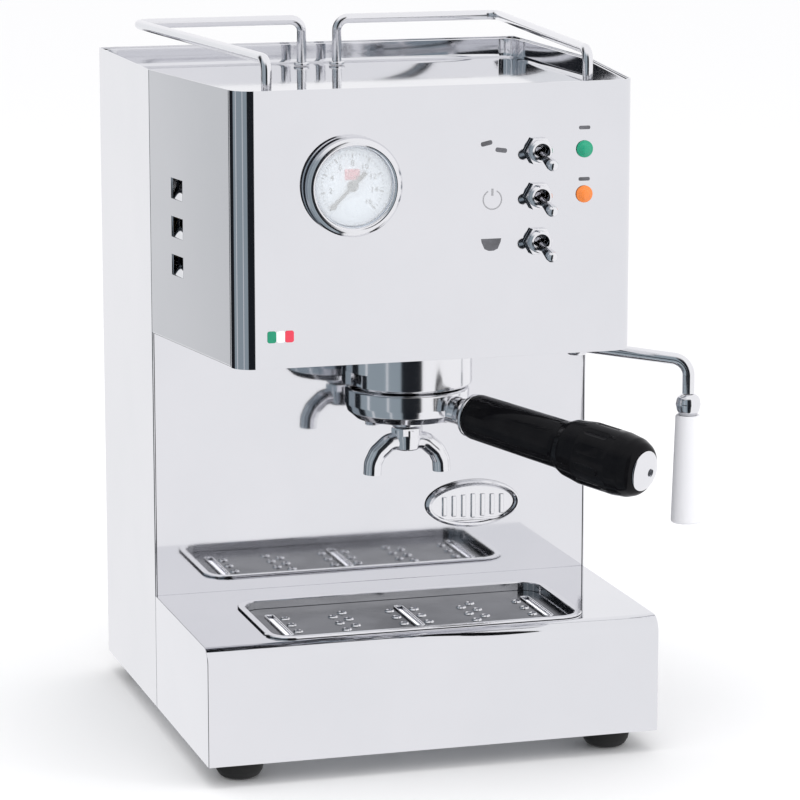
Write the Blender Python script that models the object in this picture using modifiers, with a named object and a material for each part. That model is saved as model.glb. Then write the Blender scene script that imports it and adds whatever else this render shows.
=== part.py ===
"""Espresso machine with a tapered head, built as an assembly of separate pieces.

Metres, +Z up, front towards -Y. The body frame has X = 0 on the centre plane, Y = 0 on the
front face of the column and Z = 0 under the feet. A root empty then moves everything so that
the origin lies under the middle of the whole machine.
"""

import math

import bmesh
import bpy
from mathutils import Matrix, Vector

# Overall sizes
BODY_WIDTH = 0.250
COLUMN_DEPTH = 0.130
BASE_DEPTH = 0.122
HEAD_DEPTH = 0.1215
HEAD_FRONT_WIDTH = 0.214
FOOT_HEIGHT = 0.012
BASE_HEIGHT = 0.0635
CUP_SPACE = 0.147
HEAD_HEIGHT = 0.1435

# Sheet metal and clearances
SHEET = 0.001
GAP = 0.0003
SLIDE_FIT = 0.0006
PAN_LIP = 0.010
BASE_LIP_RADIUS = 0.0055
COLUMN_CORNER_RADIUS = 0.003
HEAD_CORNER_RADIUS = 0.011
HEAD_FLANGE = 0.0105

# Feet
FOOT_DIAMETER = 0.026
FOOT_INSET = 0.022

# Drip tray
RECESS_WIDTH = 0.172
RECESS_DEPTH = 0.080
RECESS_CENTRE_Y = -0.070
RECESS_CORNER = 0.012
TRAY_DEPTH = 0.034
TRAY_RIM = 0.003
GRID_DROP = 0.0035
GRID_THICKNESS = 0.0015
GRID_SLOT_LENGTH = 0.044
GRID_SLOT_WIDTH = 0.0036
GRID_SLOT_SPACING = 0.073
GRID_DOT = 0.0042
GRID_DOT_PITCH = 0.014

# Cup tray and its rails
CUP_TRAY_DROP = 0.012
RAIL_DIAMETER = 0.0055
RAIL_HEIGHT = 0.0145
RAIL_REAR_POST_X = 0.0105
RAIL_CORNER_X = 0.107
RAIL_FRONT_X = 0.087
RAIL_FRONT_SETBACK = 0.016
RAIL_REAR_SETBACK = 0.020
BRACKET_DEPTH = 0.014

# Group, portafilter and handle
GROUP_Y = -0.066
GROUP_RADIUS = 0.035
GROUP_HEIGHT = 0.0215
COLLAR_RADIUS = 0.0315
COLLAR_DEPTH = 0.015
SCREEN_RADIUS = 0.0265
GASKET_HEIGHT = 0.005
PORTAFILTER_RADIUS = 0.0335
PORTAFILTER_HEIGHT = 0.0175
BASKET_RADIUS = 0.0270
BASKET_DEPTH = 0.020
WALL = 0.0012
LUG_HALF_WIDTH = 0.006
LUG_ANGLE = 95.0
UNLOCK_ANGLE = 75.0
NOTCH_HEIGHT = 0.0085
HANDLE_ANGLE = 34.0
HANDLE_DROOP = 7.5
HANDLE_START = 0.046
HANDLE_LENGTH = 0.116
HANDLE_RADIUS = 0.0122
HANDLE_BULB_RADIUS = 0.0168
SPOUT_SPREAD = 0.0195
SPOUT_RADIUS = 0.0048
SPOUT_DROP = 0.030

# Gauge and controls, measured on the head's front face
GAUGE_X = -0.0465
GAUGE_BELOW_TOP = 0.0500
GAUGE_RADIUS = 0.026
GAUGE_DIAL_RADIUS = 0.0202
GAUGE_DEPTH = 0.024
NEEDLE_ANGLE = 135.0
TOGGLE_X = 0.0545
TOGGLE_BELOW_TOP = 0.0355
TOGGLE_PITCH = 0.0237
TOGGLE_BUSH_RADIUS = 0.0058
NUT_RADIUS = 0.0075
TOGGLE_LEVER = 0.027
TOGGLE_TILT = 12.0
LAMP_X = 0.0800
LAMP_RADIUS = 0.0037
BADGE_X = 0.058
BADGE_ABOVE_BASE = 0.041
BADGE_WIDTH = 0.055
BADGE_HEIGHT = 0.027
BADGE_THICKNESS = 0.003

# Louvres of the head's sides
LOUVRE_COUNT = 3
LOUVRE_PITCH = 0.0205
LOUVRE_BELOW_TOP = 0.060
LOUVRE_SETBACK = 0.031
LOUVRE_LENGTH = 0.016
LOUVRE_HEIGHT = 0.011
LOUVRE_SINK = 0.0040
LOUVRE_FLAP = 0.0008

# Steam side
WAND_X = 0.104
WAND_Y = -0.045
WAND_ANGLE = 30.0
WAND_REACH = 0.062
WAND_RADIUS = 0.0034
WAND_DROP = 0.012
SLEEVE_LENGTH = 0.060
SLEEVE_TOP_RADIUS = 0.0068
SLEEVE_BOTTOM_RADIUS = 0.0086
KNOB_Y = 0.045
KNOB_BELOW_TOP = 0.066
KNOB_RADIUS = 0.017
KNOB_LENGTH = 0.020

# Water side
TANK_WIDTH = 0.104
TANK_LENGTH = 0.098
TANK_HEIGHT = 0.230
TANK_WALL = 0.002
TANK_FLOOR = 0.075
BOILER_RADIUS = 0.036
BOILER_HEIGHT = 0.076
BOILER_WALL = 0.003
PUMP_RADIUS = 0.021
PUMP_LENGTH = 0.120
PIPE_RADIUS = 0.002
HOSE_RADIUS = 0.004
SOCKET_WIDTH = 0.028
SOCKET_HEIGHT = 0.020

# Heights that follow
BASE_TOP = FOOT_HEIGHT + BASE_HEIGHT
HEAD_BOTTOM = BASE_TOP + CUP_SPACE
BODY_TOP = HEAD_BOTTOM + HEAD_HEIGHT
HALF = BODY_WIDTH / 2
INNER = HALF - SHEET - GAP
HEAD_HALF = HEAD_FRONT_WIDTH / 2
TAPER = math.atan2(HALF - HEAD_HALF, HEAD_DEPTH)
CUP_FLOOR = BODY_TOP - CUP_TRAY_DROP
PAN_REAR = COLUMN_DEPTH - COLUMN_CORNER_RADIUS - GAP
GROUP = Vector((0.0, GROUP_Y, 0.0))

STEEL = ((0.80, 0.80, 0.82), 1.0, 0.12)
CHROME = ((0.85, 0.85, 0.87), 1.0, 0.05)
DARK_STEEL = ((0.45, 0.46, 0.48), 1.0, 0.25)
BRASS = ((0.72, 0.55, 0.28), 1.0, 0.30)
COPPER = ((0.75, 0.42, 0.28), 1.0, 0.30)
BLACK_GLOSS = ((0.01, 0.01, 0.012), 0.0, 0.12)
BLACK_RUBBER = ((0.02, 0.02, 0.02), 0.0, 0.75)
WHITE = ((0.85, 0.87, 0.90), 0.0, 0.35)
CLEAR = ((0.90, 0.93, 0.95), 0.0, 0.05)
MILKY = ((0.86, 0.87, 0.90), 0.0, 0.40)
GREEN = ((0.02, 0.35, 0.20), 0.0, 0.20)
ORANGE = ((0.90, 0.25, 0.05), 0.0, 0.20)
GREY = ((0.35, 0.36, 0.38), 0.0, 0.50)

for old in list(bpy.data.objects):
    bpy.data.objects.remove(old)

MACHINE = bpy.data.collections.new("espresso_machine")
CUTTERS = bpy.data.collections.new("cutters")
for group in (MACHINE, CUTTERS):
    bpy.context.scene.collection.children.link(group)

ROOT = bpy.data.objects.new("machine_root", None)
MACHINE.objects.link(ROOT)


# ---------------------------------------------------------------- helpers


def pivot(name, place, rotation=None):
    """An empty on a joint's axis, which the moving pieces hang on."""
    empty = bpy.data.objects.new(name, None)
    empty.location = place
    if rotation is not None:
        empty.rotation_euler = rotation
    empty.parent = ROOT
    MACHINE.objects.link(empty)
    return empty


def dress(thing, finish):
    """Gives a piece its own material."""
    colour, metallic, roughness = finish
    material = bpy.data.materials.new(thing.name)
    material.use_nodes = True
    shader = material.node_tree.nodes["Principled BSDF"]
    shader.inputs["Base Color"].default_value = (*colour, 1.0)
    shader.inputs["Metallic"].default_value = metallic
    shader.inputs["Roughness"].default_value = roughness
    thing.data.materials.clear()
    thing.data.materials.append(material)


def piece(name, mesh, finish, parent=None, matrix=None, smooth=False):
    """Links a mesh or curve as a named piece. Its matrix is given in the body frame."""
    thing = bpy.data.objects.new(name, mesh)
    MACHINE.objects.link(thing)
    place = matrix if matrix is not None else Matrix()
    parent = parent or ROOT
    thing.parent = parent
    if parent is ROOT:
        thing.matrix_basis = place
    else:
        thing.matrix_basis = parent.matrix_basis.inverted() @ place
    dress(thing, finish)
    if smooth:
        mesh.shade_smooth()
        mesh.set_sharp_from_angle(angle=math.radians(35))
    return thing


def cutter(name, mesh, matrix=None):
    """A hidden shape that a Boolean reads, placed in the body frame."""
    thing = bpy.data.objects.new(name, mesh)
    CUTTERS.objects.link(thing)
    thing.parent = ROOT
    if matrix is not None:
        thing.matrix_basis = matrix
    thing.hide_render = True
    thing.display_type = "WIRE"
    return thing


def boolean(thing, other, operation="DIFFERENCE"):
    """Cuts or joins a piece with a cutter."""
    modifier = thing.modifiers.new(operation.title(), "BOOLEAN")
    modifier.operation = operation
    modifier.solver = "EXACT"
    modifier.object = other


def to_mesh(name, work):
    """Turns a bmesh into mesh data with its faces pointing out."""
    bmesh.ops.recalc_face_normals(work, faces=work.faces)
    mesh = bpy.data.meshes.new(name)
    work.to_mesh(mesh)
    work.free()
    return mesh


def box_mesh(name, low, high, bevel=0.0, segments=2):
    """A box between two corners, with its edges rounded where a bevel is given."""
    work = bmesh.new()
    bmesh.ops.create_cube(work, size=1.0)
    size = Vector(high) - Vector(low)
    bmesh.ops.scale(work, vec=size, verts=work.verts)
    bmesh.ops.translate(work, vec=(Vector(high) + Vector(low)) / 2, verts=work.verts)
    if bevel > 0:
        bmesh.ops.bevel(
            work, geom=work.edges[:], offset=bevel, segments=segments, affect="EDGES", profile=0.5
        )
    return to_mesh(name, work)


def drum_mesh(name, radius, low, high, sides=32):
    """An upright cylinder between two heights."""
    work = bmesh.new()
    bmesh.ops.create_cone(
        work, cap_ends=True, segments=sides, radius1=radius, radius2=radius, depth=high - low
    )
    bmesh.ops.translate(work, vec=(0, 0, (high + low) / 2), verts=work.verts)
    return to_mesh(name, work)


def outline_mesh(name, outline, low, high):
    """A flat outline in X and Y, drawn up from one height to another."""
    work = bmesh.new()
    face = work.faces.new([work.verts.new((x, y, low)) for x, y in outline])
    grown = bmesh.ops.extrude_face_region(work, geom=[face])
    top = [item for item in grown["geom"] if isinstance(item, bmesh.types.BMVert)]
    bmesh.ops.translate(work, vec=(0, 0, high - low), verts=top)
    return to_mesh(name, work)


def rounded_rectangle(width, depth, radius, centre=(0.0, 0.0), steps=4):
    """The points of a rectangle with round corners, anticlockwise."""
    points = []
    for turn, (sx, sy) in enumerate(((1, -1), (1, 1), (-1, 1), (-1, -1))):
        middle_x = centre[0] + sx * (width / 2 - radius)
        middle_y = centre[1] + sy * (depth / 2 - radius)
        for step in range(steps + 1):
            angle = math.radians(-90 + 90 * turn + 90 * step / steps)
            points.append((middle_x + radius * math.cos(angle), middle_y + radius * math.sin(angle)))
    return points


def aim(place, direction):
    """A matrix that puts the local Z axis along a direction."""
    turn = Vector(direction).to_track_quat("Z", "Y").to_matrix().to_4x4()
    return Matrix.Translation(place) @ turn


def turned(name, profile, finish, matrix, parent=None, sides=24, closed=False):
    """A turned piece: radius and height pairs, up the inside and down the outside."""
    mesh = bpy.data.meshes.new(name)
    count = len(profile)
    edges = [(i, i + 1) for i in range(count - 1)]
    if closed:
        edges.append((count - 1, 0))
    mesh.from_pydata([(radius, 0.0, height) for radius, height in profile], edges, [])
    thing = piece(name, mesh, finish, parent, matrix)
    screw = thing.modifiers.new("Turn", "SCREW")
    screw.steps = sides
    screw.render_steps = sides
    screw.use_merge_vertices = True
    screw.merge_threshold = 0.00001
    screw.use_smooth_shade = True
    return thing


def turned_cutter(name, profile, matrix, sides=32, closed=False):
    """A turned shape that is only read by Booleans."""
    thing = turned(name, profile, GREY, matrix, sides=sides, closed=closed)
    MACHINE.objects.unlink(thing)
    CUTTERS.objects.link(thing)
    thing.hide_render = True
    thing.display_type = "WIRE"
    return thing


def rounded_path(points, radius, steps=4):
    """A path whose inner corners are arcs of a radius, limited by the legs beside them."""
    corners = [Vector(point) for point in points]
    path = [corners[0]]
    for before, corner, after in zip(corners, corners[1:], corners[2:]):
        into = (before - corner).normalized()
        out = (after - corner).normalized()
        half = into.angle(out) / 2
        if half > math.radians(89.5):
            path.append(corner)
            continue
        reach = min(radius / math.tan(half), (before - corner).length * 0.45)
        reach = min(reach, (after - corner).length * 0.45)
        bend = reach * math.tan(half)
        centre = corner + (into + out).normalized() * (bend / math.sin(half))
        start = corner + into * reach - centre
        end = corner + out * reach - centre
        sweep = start.angle(end)
        for step in range(steps + 1):
            share = step / steps
            weight_a = math.sin((1 - share) * sweep) / math.sin(sweep)
            weight_b = math.sin(share * sweep) / math.sin(sweep)
            path.append(centre + start * weight_a + end * weight_b)
    path.append(corners[-1])
    return path


def rod(name, points, radius, finish, parent=None, bend=0.01, resolution=2, steps=4):
    """A round bar or pipe along a path, with its ends capped."""
    curve = bpy.data.curves.new(name, "CURVE")
    curve.dimensions = "3D"
    curve.bevel_depth = radius
    curve.bevel_resolution = resolution
    curve.use_fill_caps = True
    path = rounded_path(points, bend, steps)
    spline = curve.splines.new("POLY")
    spline.points.add(len(path) - 1)
    for point, place in zip(spline.points, path):
        point.co = (*place, 1.0)
    thing = piece(name, curve, finish, None)
    if parent is not None:
        thing.parent = parent
        thing.matrix_basis = parent.matrix_basis.inverted()
    return thing


def solid_rod(name, points, radius, finish, parent=None, bend=0.01, resolution=2, steps=4):
    """A rod made a mesh, so that it can be cut and joined."""
    source = rod(name + "_path", points, radius, finish, None, bend, resolution, steps)
    bpy.context.view_layer.update()
    evaluated = source.evaluated_get(bpy.context.evaluated_depsgraph_get())
    mesh = bpy.data.meshes.new_from_object(evaluated)
    bpy.data.objects.remove(source)
    work = bmesh.new()
    work.from_mesh(mesh)
    bmesh.ops.remove_doubles(work, verts=work.verts, dist=0.00001)
    work.to_mesh(mesh)
    work.free()
    mesh.name = name
    return piece(name, mesh, finish, parent)


def sheet(name, faces, finish, offset=-1.0, bevels=(), bevel_radius=0.0, segments=3):
    """A sheet metal shell: faces as corner lists, given a thickness, with some edges bent round."""
    work = bmesh.new()
    known = {}
    for face in faces:
        corners = []
        for corner in face:
            key = tuple(round(value, 6) for value in corner)
            if key not in known:
                known[key] = work.verts.new(corner)
            corners.append(known[key])
        work.faces.new(corners)
    bent = []
    for edge in work.edges:
        ends = {tuple(round(value, 6) for value in vert.co) for vert in edge.verts}
        if any(ends == {tuple(round(v, 6) for v in end) for end in pair} for pair in bevels):
            bent.append(edge)
    if bent:
        bmesh.ops.bevel(
            work,
            geom=bent,
            offset=bevel_radius,
            segments=segments,
            affect="EDGES",
            profile=0.5,
            clamp_overlap=True,
        )
    mesh = bpy.data.meshes.new(name)
    work.to_mesh(mesh)
    work.free()
    thing = piece(name, mesh, finish)
    thickness = thing.modifiers.new("Thickness", "SOLIDIFY")
    thickness.thickness = SHEET
    thickness.offset = offset
    thickness.use_even_offset = True
    return thing


def head_half_width(y, inset=0.0):
    """Half the head's width at a depth, on its slanted side, less an inset."""
    return HALF - (-y) * math.tan(TAPER) - inset / math.cos(TAPER)


# ---------------------------------------------------------------- base


def build_floor_pan():
    """The bottom pan that the feet and both covers hang on."""
    side = INNER
    front = -BASE_DEPTH + SHEET + GAP
    rear = PAN_REAR
    low = FOOT_HEIGHT
    high = FOOT_HEIGHT + PAN_LIP
    a, b, c, d = (-side, front), (side, front), (side, rear), (-side, rear)
    faces = [[(*a, low), (*d, low), (*c, low), (*b, low)]]
    for (x0, y0), (x1, y1) in ((a, b), (b, c), (c, d), (d, a)):
        faces.append([(x0, y0, low), (x1, y1, low), (x1, y1, high), (x0, y0, high)])
    sheet("floor_pan", faces, DARK_STEEL)


def build_feet():
    """Four rubber feet under the pan."""
    radius = FOOT_DIAMETER / 2
    top = FOOT_HEIGHT - GAP
    profile = [(0, top), (radius, top), (radius, top * 0.62), (radius * 0.95, top * 0.36)]
    profile += [(radius * 0.82, top * 0.12), (radius * 0.62, 0), (0, 0)]
    front = -BASE_DEPTH + FOOT_INSET
    rear = COLUMN_DEPTH - FOOT_INSET
    side = HALF - FOOT_INSET
    places = {"front_left": (-side, front), "front_right": (side, front)}
    places.update({"rear_left": (-side, rear), "rear_right": (side, rear)})
    for name, (x, y) in places.items():
        turned("foot_" + name, profile, BLACK_RUBBER, Matrix.Translation((x, y, 0)), sides=20)


def build_base_cover():
    """The front box, with a rolled front edge and an opening for the drip tray."""
    front, rear = -BASE_DEPTH, -GAP
    low, high = FOOT_HEIGHT, BASE_TOP
    top = [(-HALF, front, high), (HALF, front, high), (HALF, rear, high), (-HALF, rear, high)]
    face = [(-HALF, front, low), (HALF, front, low), (HALF, front, high), (-HALF, front, high)]
    left = [(-HALF, rear, low), (-HALF, front, low), (-HALF, front, high), (-HALF, rear, high)]
    right = [(HALF, front, low), (HALF, rear, low), (HALF, rear, high), (HALF, front, high)]
    lip = [((-HALF, front, high), (HALF, front, high))]
    cover = sheet("base_cover", [top, face, left, right], STEEL, bevels=lip,
                  bevel_radius=BASE_LIP_RADIUS, segments=4)
    hole = rounded_rectangle(RECESS_WIDTH, RECESS_DEPTH, RECESS_CORNER, (0, RECESS_CENTRE_Y))
    opening = outline_mesh("cut_recess", hole, BASE_TOP - 0.010, BASE_TOP + 0.010)
    boolean(cover, cutter("cut_recess", opening))


def build_drip_tray():
    """The drip tray, hung in the opening by its rim, and the plate that lies in it."""
    seat = (0.0, RECESS_CENTRE_Y)
    width = RECESS_WIDTH - 2 * SLIDE_FIT
    depth = RECESS_DEPTH - 2 * SLIDE_FIT
    low = BASE_TOP - TRAY_DEPTH
    rim_low = BASE_TOP + GAP
    rim_high = rim_low + 0.0008
    place = pivot("drip_tray_pivot", (0, RECESS_CENTRE_Y, BASE_TOP))
    bowl = rounded_rectangle(width, depth, RECESS_CORNER - SLIDE_FIT, seat)
    tray = piece("drip_tray", outline_mesh("drip_tray", bowl, low, rim_high), STEEL, place)
    rim = rounded_rectangle(width + 2 * TRAY_RIM, depth + 2 * TRAY_RIM, RECESS_CORNER + TRAY_RIM, seat)
    boolean(tray, cutter("join_tray_rim", outline_mesh("join_tray_rim", rim, rim_low, rim_high)), "UNION")
    inside = rounded_rectangle(width - 2 * SHEET, depth - 2 * SHEET, RECESS_CORNER - SLIDE_FIT - SHEET,
                               seat)
    hollow = outline_mesh("cut_tray", inside, low + SHEET, rim_high + 0.010)
    boolean(tray, cutter("cut_tray", hollow))

    grid_top = BASE_TOP - GRID_DROP
    grid_low = grid_top - GRID_THICKNESS
    grid_width = width - 2 * SHEET - 2 * SLIDE_FIT
    grid_depth = depth - 2 * SHEET - 2 * SLIDE_FIT
    corner = RECESS_CORNER - 2 * SLIDE_FIT - SHEET
    grid_place = pivot("drip_grid_pivot", (0, RECESS_CENTRE_Y, grid_low))
    plate = outline_mesh("drip_grid", rounded_rectangle(grid_width, grid_depth, corner, seat), grid_low,
                         grid_top)
    grid = piece("drip_grid", plate, DARK_STEEL, grid_place)
    holes = bmesh.new()
    for number in (-1, 0, 1):
        slot = rounded_rectangle(GRID_SLOT_WIDTH, GRID_SLOT_LENGTH, GRID_SLOT_WIDTH * 0.45,
                                 (number * GRID_SLOT_SPACING, RECESS_CENTRE_Y), steps=2)
        add_prism(holes, slot, grid_low - 0.002, grid_top + 0.002)
    stagger = GRID_DOT_PITCH / 4
    for side in (-1, 1):
        middle = side * GRID_SLOT_SPACING / 2
        columns = [(middle - 0.0295, 0.0), (middle + 0.0295, 0.0)]
        columns += [(middle - 0.0035, -stagger), (middle + 0.0035, stagger)]
        for x, shift in columns:
            for row in (-1, 0, 1):
                y = RECESS_CENTRE_Y + row * GRID_DOT_PITCH + shift
                add_drum(holes, (x, y), GRID_DOT / 2, grid_low - 0.002, grid_top + 0.002)
    boolean(grid, cutter("cut_grid", to_mesh("cut_grid", holes)))
    inner_wall = width / 2 - SHEET / 2
    for side in (-1, 1):
        ends = sorted((side * (inner_wall + GAP), side * (inner_wall - 0.0015)))
        ledge = box_mesh("join_ledge", (ends[0], RECESS_CENTRE_Y - 0.020, grid_low - 0.003),
                         (ends[1], RECESS_CENTRE_Y + 0.020, grid_low - GAP))
        boolean(tray, cutter("join_ledge", ledge), "UNION")


def add_prism(work, outline, low, high):
    """Adds an upright prism to a bmesh."""
    face = work.faces.new([work.verts.new((x, y, low)) for x, y in outline])
    grown = bmesh.ops.extrude_face_region(work, geom=[face])
    top = [item for item in grown["geom"] if isinstance(item, bmesh.types.BMVert)]
    bmesh.ops.translate(work, vec=(0, 0, high - low), verts=top)


def add_drum(work, centre, radius, low, high, sides=8):
    """Adds an upright cylinder to a bmesh."""
    made = bmesh.ops.create_cone(
        work, cap_ends=True, segments=sides, radius1=radius, radius2=radius, depth=high - low
    )
    bmesh.ops.translate(work, vec=(*centre, (high + low) / 2), verts=made["verts"])


# ---------------------------------------------------------------- column and head


def build_column():
    """The rear column: a wrap round three sides and a front panel between its edges."""
    front, rear = 0.0, COLUMN_DEPTH
    low, high = FOOT_HEIGHT, BODY_TOP
    left = [(-HALF, rear, low), (-HALF, front, low), (-HALF, front, high), (-HALF, rear, high)]
    right = [(HALF, front, low), (HALF, rear, low), (HALF, rear, high), (HALF, front, high)]
    back = [(HALF, rear, low), (-HALF, rear, low), (-HALF, rear, high), (HALF, rear, high)]
    corners = [((x, rear, low), (x, rear, high)) for x in (-HALF, HALF)]
    wrap = sheet("column_wrap", [left, right, back], STEEL, bevels=corners,
                 bevel_radius=COLUMN_CORNER_RADIUS)
    holes = bmesh.new()
    for row in range(6):
        z = BODY_TOP - 0.085 - row * 0.010
        slot = rounded_rectangle(0.060, 0.004, 0.0018, (0.0, z), steps=2)
        add_prism(holes, slot, -0.01, 0.01)
    socket = rounded_rectangle(SOCKET_WIDTH + 2 * GAP, SOCKET_HEIGHT + 2 * GAP, 0.002, (-0.080, 0.045), 2)
    add_prism(holes, socket, -0.01, 0.01)
    bmesh.ops.rotate(holes, matrix=Matrix.Rotation(math.radians(90), 3, "X"), verts=holes.verts)
    bmesh.ops.translate(holes, vec=(0, COLUMN_DEPTH, 0), verts=holes.verts)
    boolean(wrap, cutter("cut_rear", to_mesh("cut_rear", holes)))
    stem = drum_mesh("cut_stem", 0.0055, -0.010, 0.010, 20)
    boolean(wrap, cutter("cut_stem", stem, aim((HALF, KNOB_Y, BODY_TOP - KNOB_BELOW_TOP), (1, 0, 0))))

    panel = box_mesh("column_panel", (-INNER, 0, FOOT_HEIGHT + PAN_LIP + GAP),
                     (INNER, SHEET, CUP_FLOOR - SHEET - 0.014))
    panel_piece = piece("column_panel", panel, STEEL)
    window = box_mesh("cut_window", (-0.085, -0.01, HEAD_BOTTOM + 0.012), (0.085, 0.01, CUP_FLOOR - 0.030))
    boolean(panel_piece, cutter("cut_window", window))


def head_side_edge(side, y):
    """A point on the head's slanted outer side, in X and Y."""
    return (side * head_half_width(y), y)


def build_head():
    """The head: a bent wrap of two slanted sides and a floor, closed by the front panel."""
    rear = -GAP - SHEET * math.sin(TAPER)
    seam = -HEAD_DEPTH + HEAD_FLANGE
    low, high = HEAD_BOTTOM, BODY_TOP
    lr, ll = head_side_edge(-1, rear), head_side_edge(-1, seam)
    rr, rl = head_side_edge(1, rear), head_side_edge(1, seam)
    left = [(*lr, low), (*ll, low), (*ll, high), (*lr, high)]
    right = [(*rl, low), (*rr, low), (*rr, high), (*rl, high)]
    floor = [(*lr, low), (*rr, low), (*rl, low), (*ll, low)]
    wrap = sheet("head_wrap", [left, right, floor], STEEL)
    boolean(wrap, cutter("cut_group", drum_mesh("cut_group", 0.030 + GAP, -0.01, 0.01, 40),
                         Matrix.Translation((0, GROUP_Y, HEAD_BOTTOM))))
    boolean(wrap, cutter("cut_wand", drum_mesh("cut_wand", 0.0048, -0.01, 0.01, 20),
                         Matrix.Translation((WAND_X, WAND_Y, HEAD_BOTTOM))))
    add_louvres(wrap)
    build_front_panel(low, high)


def add_louvres(wrap):
    """Gills in both slanted sides: flaps pressed inwards, hinged in front and open at the rear."""
    half = LOUVRE_HEIGHT / 2
    hinge = 0.0012
    side_gap = 0.0004
    for side in (-1, 1):
        for number in range(LOUVRE_COUNT):
            z = BODY_TOP - LOUVRE_BELOW_TOP - number * LOUVRE_PITCH
            y = -LOUVRE_SETBACK
            x = side * head_half_width(y)
            place = Matrix.Translation((x, y, z)) @ Matrix.Rotation(-side * TAPER, 4, "Z")
            low = (min(side * SHEET, -side * SHEET) * 2, -LOUVRE_LENGTH + hinge, -half)
            high = (max(side * SHEET, -side * SHEET) * 2, 0.0, half)
            mouth = box_mesh("cut_louvre", low, high)
            boolean(wrap, cutter("cut_louvre", mouth, place))
            flap = outline_mesh("join_louvre", flap_outline(side), side_gap - half, half - side_gap)
            boolean(wrap, cutter("join_louvre", flap, place), "UNION")


def flap_outline(side):
    """A gill's flap seen from above: it sinks inwards from its hinge to its rear edge at Y = 0."""
    skin = 0.00015
    inner = LOUVRE_SINK + LOUVRE_FLAP
    points = [(skin, -LOUVRE_LENGTH), (LOUVRE_SINK, -skin), (inner, -skin)]
    points += [(SHEET - skin, -LOUVRE_LENGTH)]
    return [(-side * depth, y) for depth, y in points]


def corner_centre():
    """The middle of the front panel's right bend, in X and Y."""
    y = -HEAD_DEPTH + HEAD_CORNER_RADIUS
    return Vector((head_half_width(y) - HEAD_CORNER_RADIUS / math.cos(TAPER), y))


def front_outline(inset):
    """The front panel's section: two flanges, two round corners and the flat front."""
    radius = HEAD_CORNER_RADIUS - inset
    points = []
    seam = -HEAD_DEPTH + HEAD_FLANGE - SLIDE_FIT
    centre = corner_centre()
    steps = 6
    left = [(-head_half_width(seam, inset), seam)]
    for step in range(steps + 1):
        angle = math.radians(180) + TAPER + (math.radians(90) - TAPER) * step / steps
        left.append((-centre.x + radius * math.cos(angle), centre.y + radius * math.sin(angle)))
    points += left
    points += [(-x, y) for x, y in reversed(left)]
    return points


def build_front_panel(low, high):
    """The front panel, bent round both front corners, with the holes of gauge and controls."""
    outline = front_outline(0.0) + list(reversed(front_outline(SHEET)))
    panel = piece("front_panel", outline_mesh("front_panel", outline, low, high), STEEL)
    half = corner_centre().x
    edge = -HEAD_DEPTH + HEAD_FLANGE - 2 * SLIDE_FIT
    flange = box_mesh("join_flange", (-half, -HEAD_DEPTH + SHEET / 2, low), (half, edge, low + SHEET))
    boolean(panel, cutter("join_flange", flange), "UNION")
    for name, x, z, radius in control_holes():
        drum = drum_mesh(name, radius, -0.01, 0.01, 24)
        boolean(panel, cutter(name, drum, aim((x, -HEAD_DEPTH, z), (0, -1, 0))))


def toggle_heights():
    """The heights of the three switches, top one first."""
    return [BODY_TOP - TOGGLE_BELOW_TOP - number * TOGGLE_PITCH for number in range(3)]


def control_holes():
    """Name, place and radius of each round hole in the front panel."""
    holes = [("cut_gauge", GAUGE_X, BODY_TOP - GAUGE_BELOW_TOP, GAUGE_DIAL_RADIUS + GAP)]
    for number, z in enumerate(toggle_heights()):
        holes.append((f"cut_toggle_{number}", TOGGLE_X, z, TOGGLE_BUSH_RADIUS + GAP))
    for number, z in enumerate(toggle_heights()[:2]):
        holes.append((f"cut_lamp_{number}", LAMP_X, z, LAMP_RADIUS + GAP))
    return holes


def tray_outline(inset):
    """The cup tray's outline: the plan of column and head, less an inset."""
    front = -HEAD_DEPTH + SHEET + inset
    rear = COLUMN_DEPTH - SHEET - inset
    side = HALF - SHEET - inset
    front_half = head_half_width(front, SHEET + inset)
    chamfer = HEAD_CORNER_RADIUS * 0.6
    outline = [(-front_half + chamfer, front), (front_half - chamfer, front)]
    outline += [(head_half_width(front + chamfer, SHEET + inset), front + chamfer)]
    outline += [(side, 0.0), (side, rear - 0.003), (side - 0.003, rear)]
    outline += [(-side + 0.003, rear), (-side, rear - 0.003), (-side, 0.0)]
    outline += [(-head_half_width(front + chamfer, SHEET + inset), front + chamfer)]
    return outline


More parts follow.
